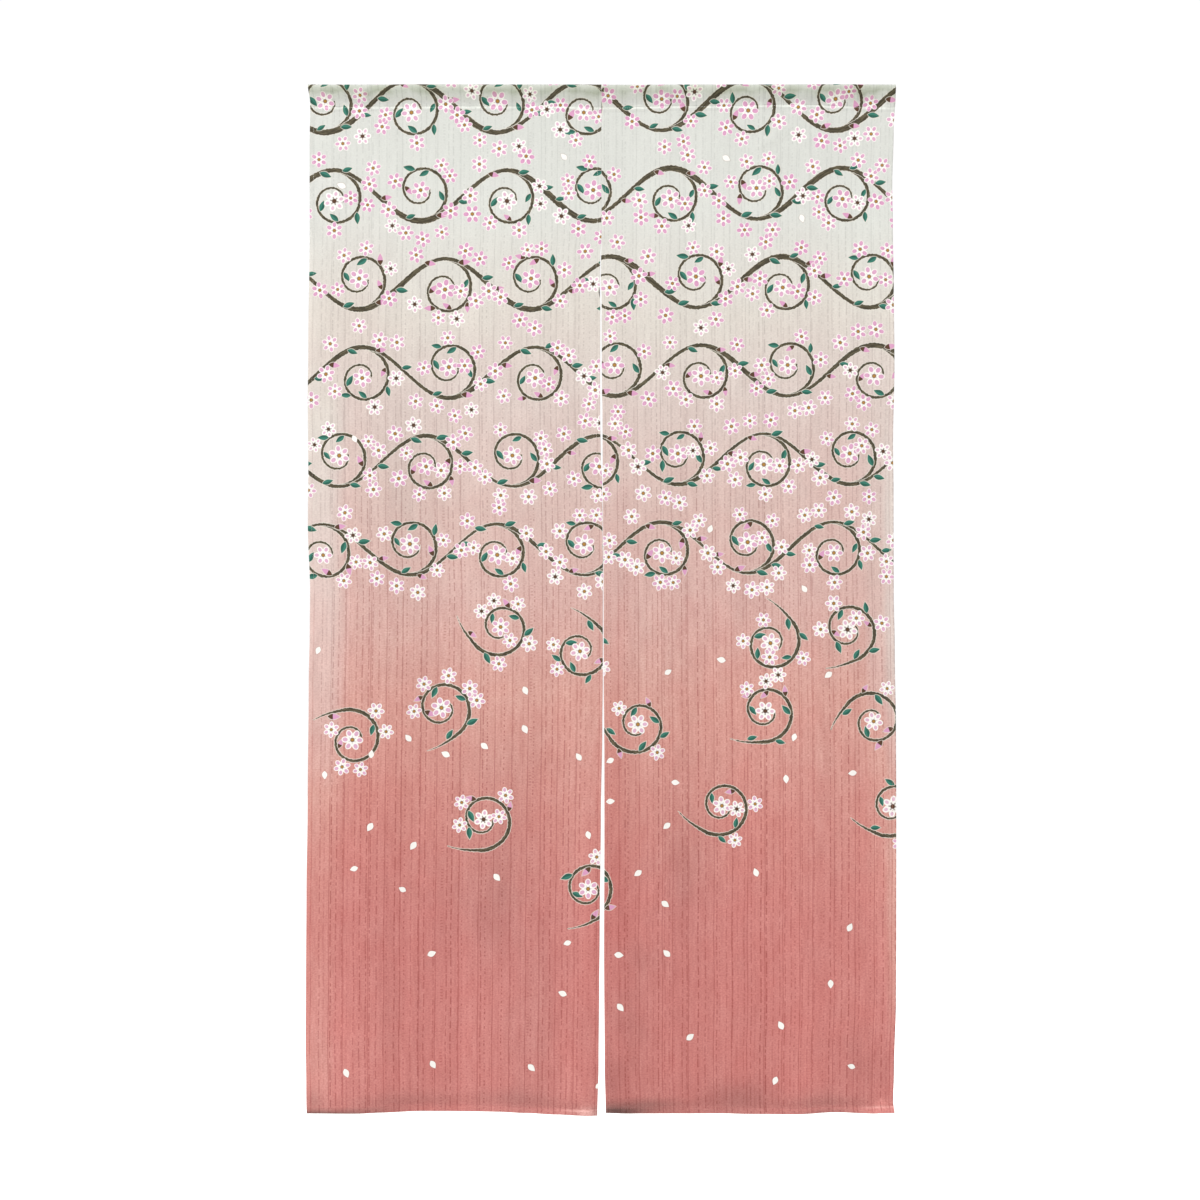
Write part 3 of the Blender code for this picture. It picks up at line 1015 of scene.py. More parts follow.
# ------------------------------------------------------------------ finishes
def add(tree: NodeTree, kind: str, *feeds: Any, **settings: Any) -> Node:
    """Add a shader node with its settings and feed its inputs in order.

    Args:
        tree: the node tree.
        kind: the node's type without ShaderNode, and its operation after a space if it has one; an
            operation in capitals alone is a Math node's.
        feeds: for each input a value, a socket, a node whose first output is meant, or None to skip.
        settings: attributes of the node; a name that starts with in_ is an input by its name.

    Returns:
        The node.
    """
    kind, _, operation = ("Math " + kind if kind.isupper() else kind).partition(" ")
    made = tree.nodes.new("ShaderNode" + kind)
    if operation:
        made.operation = operation
    for key, value in settings.items():
        if not key.startswith("in_"):
            setattr(made, key, value)
    pairs = [(made.inputs[at], feed) for at, feed in enumerate(feeds)]
    pairs += [(made.inputs[key[3:].replace("_", " ")], value) for key, value in settings.items()
              if key.startswith("in_")]
    for socket, feed in pairs:
        if isinstance(feed, Node):
            feed = feed.outputs[0]
        if isinstance(feed, NodeSocket):
            tree.links.new(feed, socket)
        elif feed is not None:
            socket.default_value = feed
    return made


def blank(owner: Any) -> Adder:
    """Empty the node tree of a material or world, and return add bound to it.

    Args:
        owner: the material or world.

    Returns:
        The function that adds nodes to it.
    """
    owner.use_nodes = True
    owner.node_tree.nodes.clear()
    return partial(add, owner.node_tree)


def set_stops(ramp: Node, stops: Sequence[tuple[float, Sequence[float]]]) -> None:
    """Give a colour ramp its stops, each a place from 0 to 1 and a colour.

    Args:
        ramp: the ramp's node.
        stops: the stops, rising.
    """
    elements = ramp.color_ramp.elements
    for at, (place, colour) in enumerate(stops):
        element = elements[at] if at < 2 else elements.new(place)
        element.position, element.color = place, colour


def dye_stops(brightness: float) -> list[tuple[float, Sequence[float]]]:
    """Stops of the graded dye, 0 at the top edge and 1 at the hem."""
    return [(drop / Ground().length, linear(code, brightness)) for drop, code in DYE]


# what the noises of the cloth have in common: millimetres come scaled, along one axis or on the cloth
ALONG = {"noise_dimensions": "1D", "in_Scale": 1.0}
ON_CLOTH = {"noise_dimensions": "2D", "in_Scale": 1.0, "in_Detail": 2.0}


@dataclass(frozen=True)
class Inks:
    """Colours of the print, and of what shows of it behind, as sRGB hex."""

    white: str = "FBF8F3"
    pink: str = "E4A6CB"
    deep_pink: str = "D892BE"
    heart: str = "B98A45"
    heart_dark: str = "5E4232"
    bark: str = "4B4537"
    bark_light: str = "6A624D"
    leaf: str = "3F8271"
    leaf_dark: str = "2F6658"
    halo: str = "EFE9DC"
    rim: str = "9A6A5C"
    behind: str = "D9D2CA"


@dataclass(frozen=True)
class SlubCloth:
    """Slub-woven polyester, matt and a little crisp, printed on its face; the print shows pale behind.

    Slubs are thick places in the warp, so they run down the cloth as fine uneven lines.
    """

    name: str
    brightness: float = 1.0
    pocket_shade: bool = False
    inks: Inks = Inks()
    band: float = 26.0
    whole_half: float = 1.15          # half widths of whole lines, of broken ones and of rungs
    line_half: float = 1.2
    rung_half: float = 2.2
    rung_pace: float = 4.4
    column: float = 8.4
    dotted: float = 0.18              # columns up to here are dotted, then dashed, then like rungs
    dashed: float = 0.84
    runged: float = 0.92
    pale_slub: float = 0.135
    slub_depth: float = 0.50
    grain: float = 2.1
    thread: float = 0.9       # real threads lie 0.35 mm apart, too fine to show, so drawn coarser

    def material(self) -> Material:
        """Build the cloth's material, which reads what dress_corners stores.

        Returns:
            The material.
        """
        made = bpy.data.materials.new(self.name)
        new = blank(made)
        across, drop, back = self._stored(new, "cloth")
        dark, height = self._slubs(new, across, drop)
        woven = new("VectorMath MULTIPLY", self._ground(new, across, drop), dark)
        colour = self._print(new, woven, across, drop)
        colour = self._over(new, colour, new("MULTIPLY", back, 0.42), self.inks.behind)
        # painted shade and a painted highlight on the pocket
        if self.pocket_shade:
            colour = self._pocket(new, colour, across, drop)
        bump = new("Bump", in_Strength=0.8, in_Distance=MM, in_Height=height)
        shader = new("BsdfPrincipled", in_Base_Color=colour, in_Roughness=0.86, in_Sheen_Weight=0.10,
                     in_Sheen_Roughness=0.45, in_Specular_IOR_Level=0.25, in_Normal=bump)
        new("OutputMaterial", shader)
        return made

    def _stored(self, new: Adder, name: str) -> Sequence[NodeSocket]:
        """The three numbers that the mesh stores under a name."""
        return new("SeparateXYZ", new("Attribute", attribute_name=name).outputs["Vector"]).outputs

    def _slubs(self, new: Adder, across: NodeSocket, drop: NodeSocket) -> tuple[Node, Node]:
        """Slub lines, bands, streaks and grain: a colour to multiply by and a height in mm.

        Whole lines lie on the bounds of uneven bands. Between them the cloth is ruled in columns, each
        with a line at its own place that is dashed, dotted, like rungs or missing, by its own number.

        Args:
            new: add, bound to the material's nodes.
            across: place across the flat cloth, mm.
            drop: place down it, mm.

        Returns:
            The colour to multiply by, and the height.
        """
        along = new("TexNoise", None, new("MULTIPLY", drop, 0.011), in_Detail=1.0, **ALONG)
        place = new("MULTIPLY_ADD", along, 1.5, across)
        banded = new("DIVIDE", place, self.band)
        edge, band = (new("TexVoronoi", None, banded, in_Scale=1.0, in_Randomness=0.95,
                          voronoi_dimensions="1D", feature=kind) for kind in ("DISTANCE_TO_EDGE", "F1"))
        tone = new("SeparateColor", band.outputs["Color"])
        whole = new("SUBTRACT", 1.0, new(
            "MULTIPLY", edge.outputs["Distance"], self.band / self.whole_half), use_clamp=True)
        seed = new("MULTIPLY", new("ROUND", banded), 9.7)
        waxing = new("TexNoise", None, new("MULTIPLY_ADD", drop, 1 / 21.0, seed), in_Detail=2.0, **ALONG)
        whole = new("MULTIPLY", whole, new("MapRange", waxing, 0.3, 0.6, 0.5, 1.0))
        ruled = new("DIVIDE", place, self.column)
        column = new("FLOOR", ruled)
        chance = new("TexWhiteNoise", None, column, noise_dimensions="1D")
        kinds = new("SeparateColor", chance.outputs["Color"])
        off = new("SUBTRACT", new("FRACT", ruled), new(
            "MapRange", chance.outputs["Value"], 0.0, 1.0, 0.18, 0.82))
        off = new("MULTIPLY", new("ABSOLUTE", off), self.column)
        line, wide = (new("SUBTRACT", 1.0, new("POWER", new("DIVIDE", off, half), power), use_clamp=True)
                      for half, power in ((self.line_half, 2.0), (self.rung_half, 4.0)))
        seed = new("MULTIPLY", column, 17.31)
        dashes, dots, rests = (
            new("TexNoise", None, new("MULTIPLY_ADD", drop, 1 / pace, seed), in_Detail=detail, **ALONG)
            for pace, detail in ((9.0, 1.0), (4.2, 0.0), (33.0, 0.0)))
        dashes = new("MapRange", dashes, 0.43, 0.50, 0.0, 1.0)
        dots = new("MapRange", dots, 0.50, 0.62, 0.0, 1.0)
        rungs = new("SINE", new("MULTIPLY_ADD", drop, TAU / self.rung_pace, seed))
        rungs = new("MULTIPLY", new("MULTIPLY", rungs, 1.3, use_clamp=True),
                    new("MapRange", rests, 0.5, 0.56, 0.0, 0.7))
        broken = new("Mix", new("GREATER_THAN", kinds, self.dotted), None,
                     new("MULTIPLY", dots, line), new("MULTIPLY", dashes, line))
        broken = new("Mix", new("GREATER_THAN", kinds, self.dashed), None, broken,
                     new("MULTIPLY", rungs, wide))
        broken = new("MULTIPLY", broken, new("LESS_THAN", kinds, self.runged))
        broken = new("MULTIPLY", broken, new("MapRange", kinds.outputs[1], 0.0, 1.0, 0.35, 1.0))
        slub = new("MAXIMUM", new("MULTIPLY", whole, 0.95), broken)
        cell = new("CombineXYZ", across, drop, 0.0)
        grain, streak, shade = (
            new("TexNoise", new("VectorMath MULTIPLY", cell, (1 / wide, 1 / tall, 1.0)), **ON_CLOTH)
            for wide, tall in ((1.5 * self.grain, self.grain), (3.1, 50.0), (10.0, 46.0)))
        value = new("MapRange", grain, 0.2, 0.8, 0.82, 1.18)
        for source, low, high in ((streak, 0.945, 1.055), (shade, 0.915, 1.085)):
            value = new("MULTIPLY", value, new("MapRange", source, 0.25, 0.75, low, high))
        value = new("MULTIPLY", value, new("MapRange", tone, 0.0, 1.0, 0.96, 1.04))
        # deep dye shows the weave and its slubs more than the pale top does
        dye = new("Attribute", attribute_name="dye").outputs["Fac"]
        deep = new("MapRange", dye, 0.12, 0.60, 0.0, 1.0)
        value = new("POWER", value, new("MULTIPLY_ADD", deep, 0.76, 0.24))
        depth = new("MapRange", deep, 0.0, 1.0, self.pale_slub, self.slub_depth)
        value = new("MULTIPLY", value, new("SUBTRACT", 1.0, new("MULTIPLY", slub, depth)))
        # a slub takes the dye more deeply, so its shade leans to the ground's own hue
        leaning = new("POWER", value, new("MULTIPLY_ADD", deep, -0.42, 1.0))
        weft = new("SINE", new("MULTIPLY", drop, TAU / self.thread))
        height = new("MULTIPLY_ADD", grain, 0.22, new("MULTIPLY", weft, 0.012))
        return new("CombineXYZ", leaning, value, value), new("MULTIPLY_ADD", slub, 0.10, height)

    def _ground(self, new: Adder, across: NodeSocket, drop: NodeSocket) -> Node:
        """Graded dye with its uneven patches and their painted light and shade, and faint clouds of paler
        and deeper dye.

        Args:
            new: add, bound to the material's nodes.
            across: place across, mm.
            drop: place down, mm.

        Returns:
            The ground's colour.
        """
        dye = new("Attribute", attribute_name="dye").outputs["Fac"]
        ramp = new("ValToRGB", dye)
        set_stops(ramp, dye_stops(self.brightness))
        cell = new("CombineXYZ", across, drop, 0.0)
        cloud = new("TexNoise", new("VectorMath MULTIPLY", cell, (1 / 36.0, 1 / 48.0, 1.0)), **ON_CLOTH)
        pale = new("MULTIPLY_ADD", new("MapRange", cloud, 0.36, 0.64, -0.5, 0.5, clamp=False),
                   new("MapRange", dye, 0.12, 0.60, 0.0, 0.036), 1.0)
        tinted = new("VectorMath MULTIPLY", ramp, new("CombineXYZ", 1.0, pale, pale))
        # the dye patches with their painted light and shade, as factors
        dye_and_light = new("Attribute", attribute_name="dye_and_light").outputs["Vector"]
        return new("VectorMath MULTIPLY", tinted, dye_and_light)

    def _over(self, new: Adder, under: Any, mask: Any, colour: Any, **settings: Any) -> NodeSocket:
        """Lay an ink over what is there, where the mask is 1; a colour can be given as its hex.

        Args:
            new: add, bound to the material's nodes.
            under: what is there.
            mask: how much of the ink is seen.
            colour: the ink.
            settings: further settings of the mixing node.

        Returns:
            The colour with the ink laid on.
        """
        # white is laid on thickly and is brighter than the cloth
        under, colour = (
            linear(ink, self.brightness * (1.1 if ink == self.inks.white else 1.0))
            if isinstance(ink, str) else ink for ink in (under, colour))
        return new("Mix", mask, None, None, None, None, None, under, colour, data_type="RGBA",
                   **settings).outputs[2]

    def _within(self, new: Adder, value: Any, bound: Any, sharpness: float) -> Node:
        """0 where a value is past its bound, rising to 1 at 1 / sharpness under it."""
        return new("MULTIPLY", new("SUBTRACT", bound, value), sharpness, use_clamp=True)

    def _stem(self, new: Adder, under: NodeSocket, attribute: str, edge: Node) -> NodeSocket:
        """Lay one set of stems with their pale outline: ink where |across| is under half the width.

        Args:
            new: add, bound to the material's nodes.
            under: what is there.
            attribute: what the mesh stores the motifs as.
            edge: unevenness to add to half the width, mm.

        Returns:
            The colour with them laid on.
        """
        beside, _, half = self._stored(new, attribute)
        inset = new("SUBTRACT", new("ADD", half, edge), new("ABSOLUTE", beside))
        ink, halo = (new("MULTIPLY_ADD", inset, 2.2, grown, use_clamp=True) for grown in (0.5, 2.5))
        where = new("Attribute", attribute_name=attribute).outputs["Vector"]
        mottle = new("TexNoise", new("VectorMath MULTIPLY", where, (0.5, 0.09, 0.0)), **ON_CLOTH)
        patch = new("MapRange", mottle, 0.45, 0.62, 0.0, 1.0)
        bark = self._over(new, self.inks.bark, patch, self.inks.bark_light)
        haloed = self._over(new, under, new("MULTIPLY", halo, 0.75), self.inks.halo)
        return self._over(new, haloed, ink, bark)

    def _leaf(self, new: Adder, under: NodeSocket, attribute: str, slim: float) -> NodeSocket:
        """Lay leaves, buds and loose petals: inside where |athwart| < slim (1 - along^2) (1 - along / 4).

        The motif's tone is 0 to 1 on a leaf, 1 to 2 on a bud and 2 to 3 on a loose petal.

        Args:
            new: add, bound to the material's nodes.
            under: what is there.
            attribute: what the mesh stores the motifs as.
            slim: width as a share of length.

        Returns:
            The colour with them laid on.
        """
        inks = self.inks
        along, athwart, tone = self._stored(new, attribute)
        full = new("SUBTRACT", 1.0, new("MULTIPLY", along, along))
        skew = new("MAXIMUM", new("MULTIPLY_ADD", along, -0.25, 1.0), 0.3)
        bound = new("MULTIPLY", new("MULTIPLY", full, skew), slim)
        inset = new("SUBTRACT", bound, new("ABSOLUTE", athwart))
        ink, halo = (new("MULTIPLY_ADD", inset, 14.0, grown, use_clamp=True) for grown in (0.5, 2.2))
        side = new("MULTIPLY_ADD", athwart, 9.0, 0.5, use_clamp=True)
        is_bud, is_petal = (new("GREATER_THAN", tone, least) for least in (1.0, 2.0))
        green = self._over(new, inks.leaf, side, inks.leaf_dark)
        bud = self._over(new, inks.pink, new("LESS_THAN", along, -0.15), inks.heart_dark)
        filled = self._over(new, self._over(new, green, is_bud, bud), is_petal, inks.white)
        rim = self._over(new, inks.halo, is_petal, inks.rim)
        outline = new("MULTIPLY", halo, new("MULTIPLY_ADD", is_petal, -0.35, 0.7))
        return self._over(new, self._over(new, under, outline, rim), ink, filled)

    def _oval(self, new: Adder, out: Any, beside: Any, middle: float, long: float, wide: float) -> Node:
        """1 in an oval's middle, 0 on its rim: 1 - sqrt(((u - middle) / long)^2 + (v / wide)^2).

        Args:
            new: add, bound to the material's nodes.
            out: u, the distance out.
            beside: v, the distance to the side.
            middle: u of the oval's middle.
            long: its half length.
            wide: its half width.

        Returns:
            That number.
        """
        ends = new("DIVIDE", new("SUBTRACT", out, middle), long)
        first, second = (new("POWER", part, 2.0) for part in (ends, new("DIVIDE", beside, wide)))
        return new("SUBTRACT", 1.0, new("SQRT", new("ADD", first, second)))

    def _bloom(self, new: Adder, under: NodeSocket, attribute: str) -> NodeSocket:
        """Lay six-petalled flowers.

        Folded into one petal's sector, with u out from the middle and v beside it, a petal is
        ((u - 0.60) / 0.40)^2 + (v / 0.29)^2 < 1. It is white with a pink tip. Fine dark lines run out
        between the petals from an ochre heart, which is all dark where the flower shows its back.

        Args:
            new: add, bound to the material's nodes.
            under: what is there.
            attribute: what the mesh stores the motifs as.

        Returns:
            The colour with them laid on.
        """
        inks = self.inks
        east, south, tone = self._stored(new, attribute)
        radius = new("SQRT", new("ADD", new("MULTIPLY", east, east), new("MULTIPLY", south, south)))
        angle, half = new("ARCTAN2", south, east), math.pi / 6.0
        own, between = (new("WRAP", turned, half, -half) for turned in (angle, new("ADD", angle, half)))
        out, beside = (new("MULTIPLY", radius, new(share, own)) for share in ("COSINE", "SINE"))
        petal = new("MULTIPLY_ADD", self._oval(new, out, beside, 0.60, 0.40, 0.29), 7.0, 0.6,
                    use_clamp=True)
        ink = new("MAXIMUM", petal, self._within(new, radius, 0.33, 16.0))
        tip = self._oval(new, out, beside, 0.68, 0.33, 0.26)
        blush = new("MULTIPLY", self._within(new, new("MULTIPLY", tone, 0.34), tip, 4.5),
                    new("MapRange", tone, 0.0, 1.0, 1.0, 0.72))
        rose = self._over(new, inks.pink, self._within(new, out, 0.66, 3.0), inks.deep_pink)
        face = self._over(new, inks.white, blush, rose)
        behind = new("GREATER_THAN", tone, 0.86)
        thin, ring, heart = (new("MULTIPLY_ADD", behind, more, bound)
                             for more, bound in ((0.05, 0.035), (0.02, 0.235), (-0.3, 0.18)))
        spoke = new("ABSOLUTE", new("MULTIPLY", radius, new("SINE", between)))
        spoke = new("MULTIPLY", self._within(new, spoke, thin, 24.0), self._within(new, radius, 0.44, 12.0))
        spoke = new("MULTIPLY", spoke, 0.7)
        ring, heart = (self._within(new, radius, bound, 16.0) for bound in (ring, heart))
        face = self._over(new, face, new("MAXIMUM", spoke, ring), inks.heart_dark)
        face = self._over(new, face, heart, inks.heart)
        return self._over(new, under, new("MAXIMUM", ink, spoke), face)

    def _print(self, new: Adder, colour: Any, across: NodeSocket, drop: NodeSocket) -> NodeSocket:
        """Lay the stems, curls, leaves, petals and both layers of flowers on the ground.

        Args:
            new: add, bound to the material's nodes.
            colour: the ground's colour.
            across: place across, mm.
            drop: place down, mm.

        Returns:
            The colour with them laid on.
        """
        rough = new("TexNoise", new("CombineXYZ", across, drop, 0.0), in_Scale=0.28, in_Detail=2.0,
                    noise_dimensions="2D")
        edge = new("MapRange", rough, 0.25, 0.75, -0.55, 0.55)
        for attribute in ("curl", "stem"):
            colour = self._stem(new, colour, attribute, edge)
        for attribute, slim in (("leaf", 0.44), ("petal", 0.62)):
            colour = self._leaf(new, colour, attribute, slim)
        for attribute in ("bloom_under", "bloom_over"):
            colour = self._bloom(new, colour, attribute)
        return colour

    def _pocket(self, new: Adder, colour: NodeSocket, across: NodeSocket, drop: NodeSocket) -> NodeSocket:
        """Paint shade on the pocket, unevenly, where the doubled cloth shows through itself, and a painted
        highlight on the ridge above the stitches.

        Args:
            new: add, bound to the material's nodes.
            colour: the printed cloth's colour.
            across: place across, mm.
            drop: place down, mm.

        Returns:
            The pocket's colour.
        """
        line = new("Attribute", attribute_name="line").outputs["Fac"]
        height = new("ABSOLUTE", new("SUBTRACT", drop, line))
        share = new("MULTIPLY", height, 1 / 40.0)
        waver = new("TexNoise", None, new("MULTIPLY", across, 1 / 30.0), in_Detail=2.0, **ALONG)
        # the painted shade band's bounds waver, but not at the top edge or the line of stitches
        window = new("MULTIPLY", share, new("SUBTRACT", 0.9, share), use_clamp=True)
        ramp = new("ValToRGB", new(
            "MULTIPLY_ADD", window, new("MapRange", waver, 0.25, 0.75, -0.55, 0.55), share))
        # powers of red, green and blue: the painted shade is yellower and the painted highlight on the
        # ridge a little cooler
        leans = {True: (1.02, 0.93, 1.25), False: (1.0, 1.04, 1.03)}
        set_stops(ramp, [(at, (*(value ** power for power in leans[value < 1.0]), 1.0))
                         for at, value in POCKET_PAINTED_LIGHT])
        patch = new("TexNoise", new("CombineXYZ", across, height, 0.0), in_Scale=1 / 26.0,
                    in_Detail=1.0, noise_dimensions="2D")
        # how strongly the painted shade and highlight show, unevenly
        mask = new("MapRange", patch, 0.35, 0.65, 0.62, 1.0)
        return self._over(new, colour, mask, ramp, blend_type="MULTIPLY")


@dataclass(frozen=True)
class Thread:
    """Clear nylon sewing thread, which shows the cloth's own colour and a soft shine."""

    name: str
    brightness: float = 1.0
    paler: float = 1.10

    def material(self) -> Material:
        """Build the material: the graded dye read down the object's Z, with a fine unevenness.

        Returns:
            The material.
        """
        made = bpy.data.materials.new(self.name)
        new = blank(made)
        place = new("TexCoord").outputs["Object"]
        height = new("SeparateXYZ", place).outputs[2]
        ramp = new("ValToRGB", new("MULTIPLY", height, -1.0 / (Ground().length * MM)))
        set_stops(ramp, dye_stops(self.brightness * self.paler))
        shade = new("MapRange", new("TexNoise", place, in_Scale=160.0, in_Detail=2.0), 0.3, 0.7, 0.93, 1.07)
        tone = new("VectorMath MULTIPLY", ramp, new("CombineXYZ", shade, shade, shade))
        new("OutputMaterial", new("BsdfPrincipled", in_Base_Color=tone, in_Roughness=0.34))
        return made


# ------------------------------------------------------------------ pieces
def finish_piece(mesh: Mesh, finish: Material, node: str = "") -> Object:
    """Link a piece, ride it on the root body and hide any CAD node that it stands for.

    Args:
        mesh: its mesh.
        finish: its material.
        node: the CAD node that it replaces, if any.

    Returns:
        The piece.
    """
    piece = add_object(mesh, finish)
    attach(piece, "root")
    if node:
        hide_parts(node)
    return piece


@dataclass
class HungSheet:
    """What the sheets of one side share: a printed and closed sheet that stands for a CAD node.

    The map that the finish can be drawn on has both sides of the sheet next to each other, or one above
    the other where it is stacked, and the front gets a little less than two thirds of it.
    """

    side: Side
    drape: Drape
    half_cloth: float = 0.25
    kind: ClassVar[str]
    front_share: ClassVar[float]
    stacked: ClassVar[bool]

    @property
    def node(self) -> str:
        """Name of the CAD node that it stands for."""
        return f"{self.kind}_{self.side.name.lower()}"

    def from_side(self, across: Array) -> Array:
        """Distance from the nearer side edge of the flat sheet."""
        low, high = self.drape.flat_edges(self.side)
        return np.minimum(across - low, high - across)

    def patch(self) -> ClothPatch:
        """The sheet as a patch."""
        raise NotImplementedError

    def mark(self, mesh: Mesh, corners: Array) -> None:
        """Store what only one kind of sheet needs; here nothing."""

    def bake_map(self, mesh: Mesh, corners: Array) -> None:
        """Add the map, which fills the unit square, from the corners' places on the cloth.

        Args:
            mesh: the sheet's mesh.
            corners: its corners' cloth places, faces by 4 by 2.
        """
        low, high = corners.min(axis=(0, 1)), corners.max(axis=(0, 1))
        across, down = np.moveaxis((corners - low) / (high - low), -1, 0)
        split, other = (down, across) if self.stacked else (across, 1.0 - down)
        half = len(corners) // 2
        split = np.concatenate([0.01 + self.front_share * split[:half], 0.66 + 0.33 * split[half:]])
        places = (0.01 + 0.98 * other, split) if self.stacked else (split, 0.01 + 0.98 * other)
        put(mesh.uv_layers.new(name="OFBake").data, "uv", np.stack(places, axis=-1))

    def build(self, printed: ScrollPrint, finish: Material) -> Object:
        """Build the sheet as one closed mesh and dress it.

        Args:
            printed: the print on the cloth.
            finish: the cloth's material.

        Returns:
            The piece.
        """
        patch = self.patch()
        mesh = patch.mesh(self.node + "_cloth")
        corners = patch.corners()
        dress_corners(mesh, corners, printed, self.side)
        self.mark(mesh, corners)
        self.bake_map(mesh, corners)
        return finish_piece(mesh, finish, self.node)


@dataclass
class Length(HungSheet):
    """One length of cloth below the pocket, with its side hems and bottom hem turned to the back."""

    kind = "panel"
    front_share = 0.62
    stacked = False
    top: float = 31.0
    side_hem: float = 7.0
    hem: float = 10.0
    side_stitch: float = 1.2          # how far outside a hem's inner edge its stitches lie
    hem_stitch: float = 1.4
    hem_back: float = 0.95            # the turned layers behind, and the rise that they give in front
    hem_front: float = 0.16
    groove_front: float = 0.26
    groove_back: float = 0.22
    rounding: float = 0.55
    cell_across: float = 3.9
    cell_down: float = 4.9
    near_side: tuple[float, ...] = (0.0, 0.08, 0.28, 0.6, 1.4, 3.4, 5.2, 5.8, 6.4, 6.75, 7.0, 7.25, 8.6,
                                    11.5)
    near_foot: tuple[float, ...] = (0.0, 0.08, 0.28, 0.6, 1.6, 3.6, 5.8, 7.6, 8.6, 9.4, 9.75, 10.0, 10.25,
                                    12.0, 15.0)
    near_top: tuple[float, ...] = (0.0, 0.2, 0.6, 1.8, 3.4, 5.2, 7.4, 10.0, 13.5)

    def skins(self, across: Array, drop: Array) -> tuple[Array, Array]:
        """Thickness in front of and behind the sheet's middle, mm.

        Near an edge both fall to 0 as sqrt(1 - (1 - d / r)^2). The hems add their turned layers behind
        and a slight rise in front, with a groove where the stitches draw them in.

        Args:
            across: flat places across, mm.
            drop: drops, mm.

        Returns:
            Front and back thickness.
        """
        from_side, from_hem = self.from_side(across), self.drape.drop - drop
        nearest = np.minimum(np.minimum(from_side, from_hem), drop - self.top)
        rounded = rounded_edge(nearest, self.rounding)
        band = np.maximum(hem_band(from_side, self.side_hem), hem_band(from_hem, self.hem))
        groove = np.maximum(
            np.exp(-(((from_side - self.side_hem + self.side_stitch) / 0.8) ** 2)),
            np.exp(-(((from_hem - self.hem + self.hem_stitch) / 0.9) ** 2)))
        front = self.half_cloth + self.hem_front * band - self.groove_front * groove
        back = self.half_cloth + self.hem_back * band - self.groove_back * groove
        return np.maximum(front, 0.02) * rounded, np.maximum(back, 0.02) * rounded

    def patch(self) -> ClothPatch:
        """The sheet as a patch, its grid drawn close at the hems.

        Returns:
            The patch.
        """
        columns = hem_places(*self.drape.flat_edges(self.side), self.near_side, self.cell_across)
        foot = self.drape.drop - np.array(self.near_foot)[::-1]
        head = self.top + np.array(self.near_top)
        cells = round((foot[0] - head[-1]) / self.cell_down)
        rows = np.concatenate([head, np.linspace(head[-1], foot[0], cells + 1)[1:-1], foot])
        across, drop = np.meshgrid(columns, rows)
        return ClothPatch(self.drape.place(self.side, across, drop), *self.skins(across, drop), across,
                          drop)


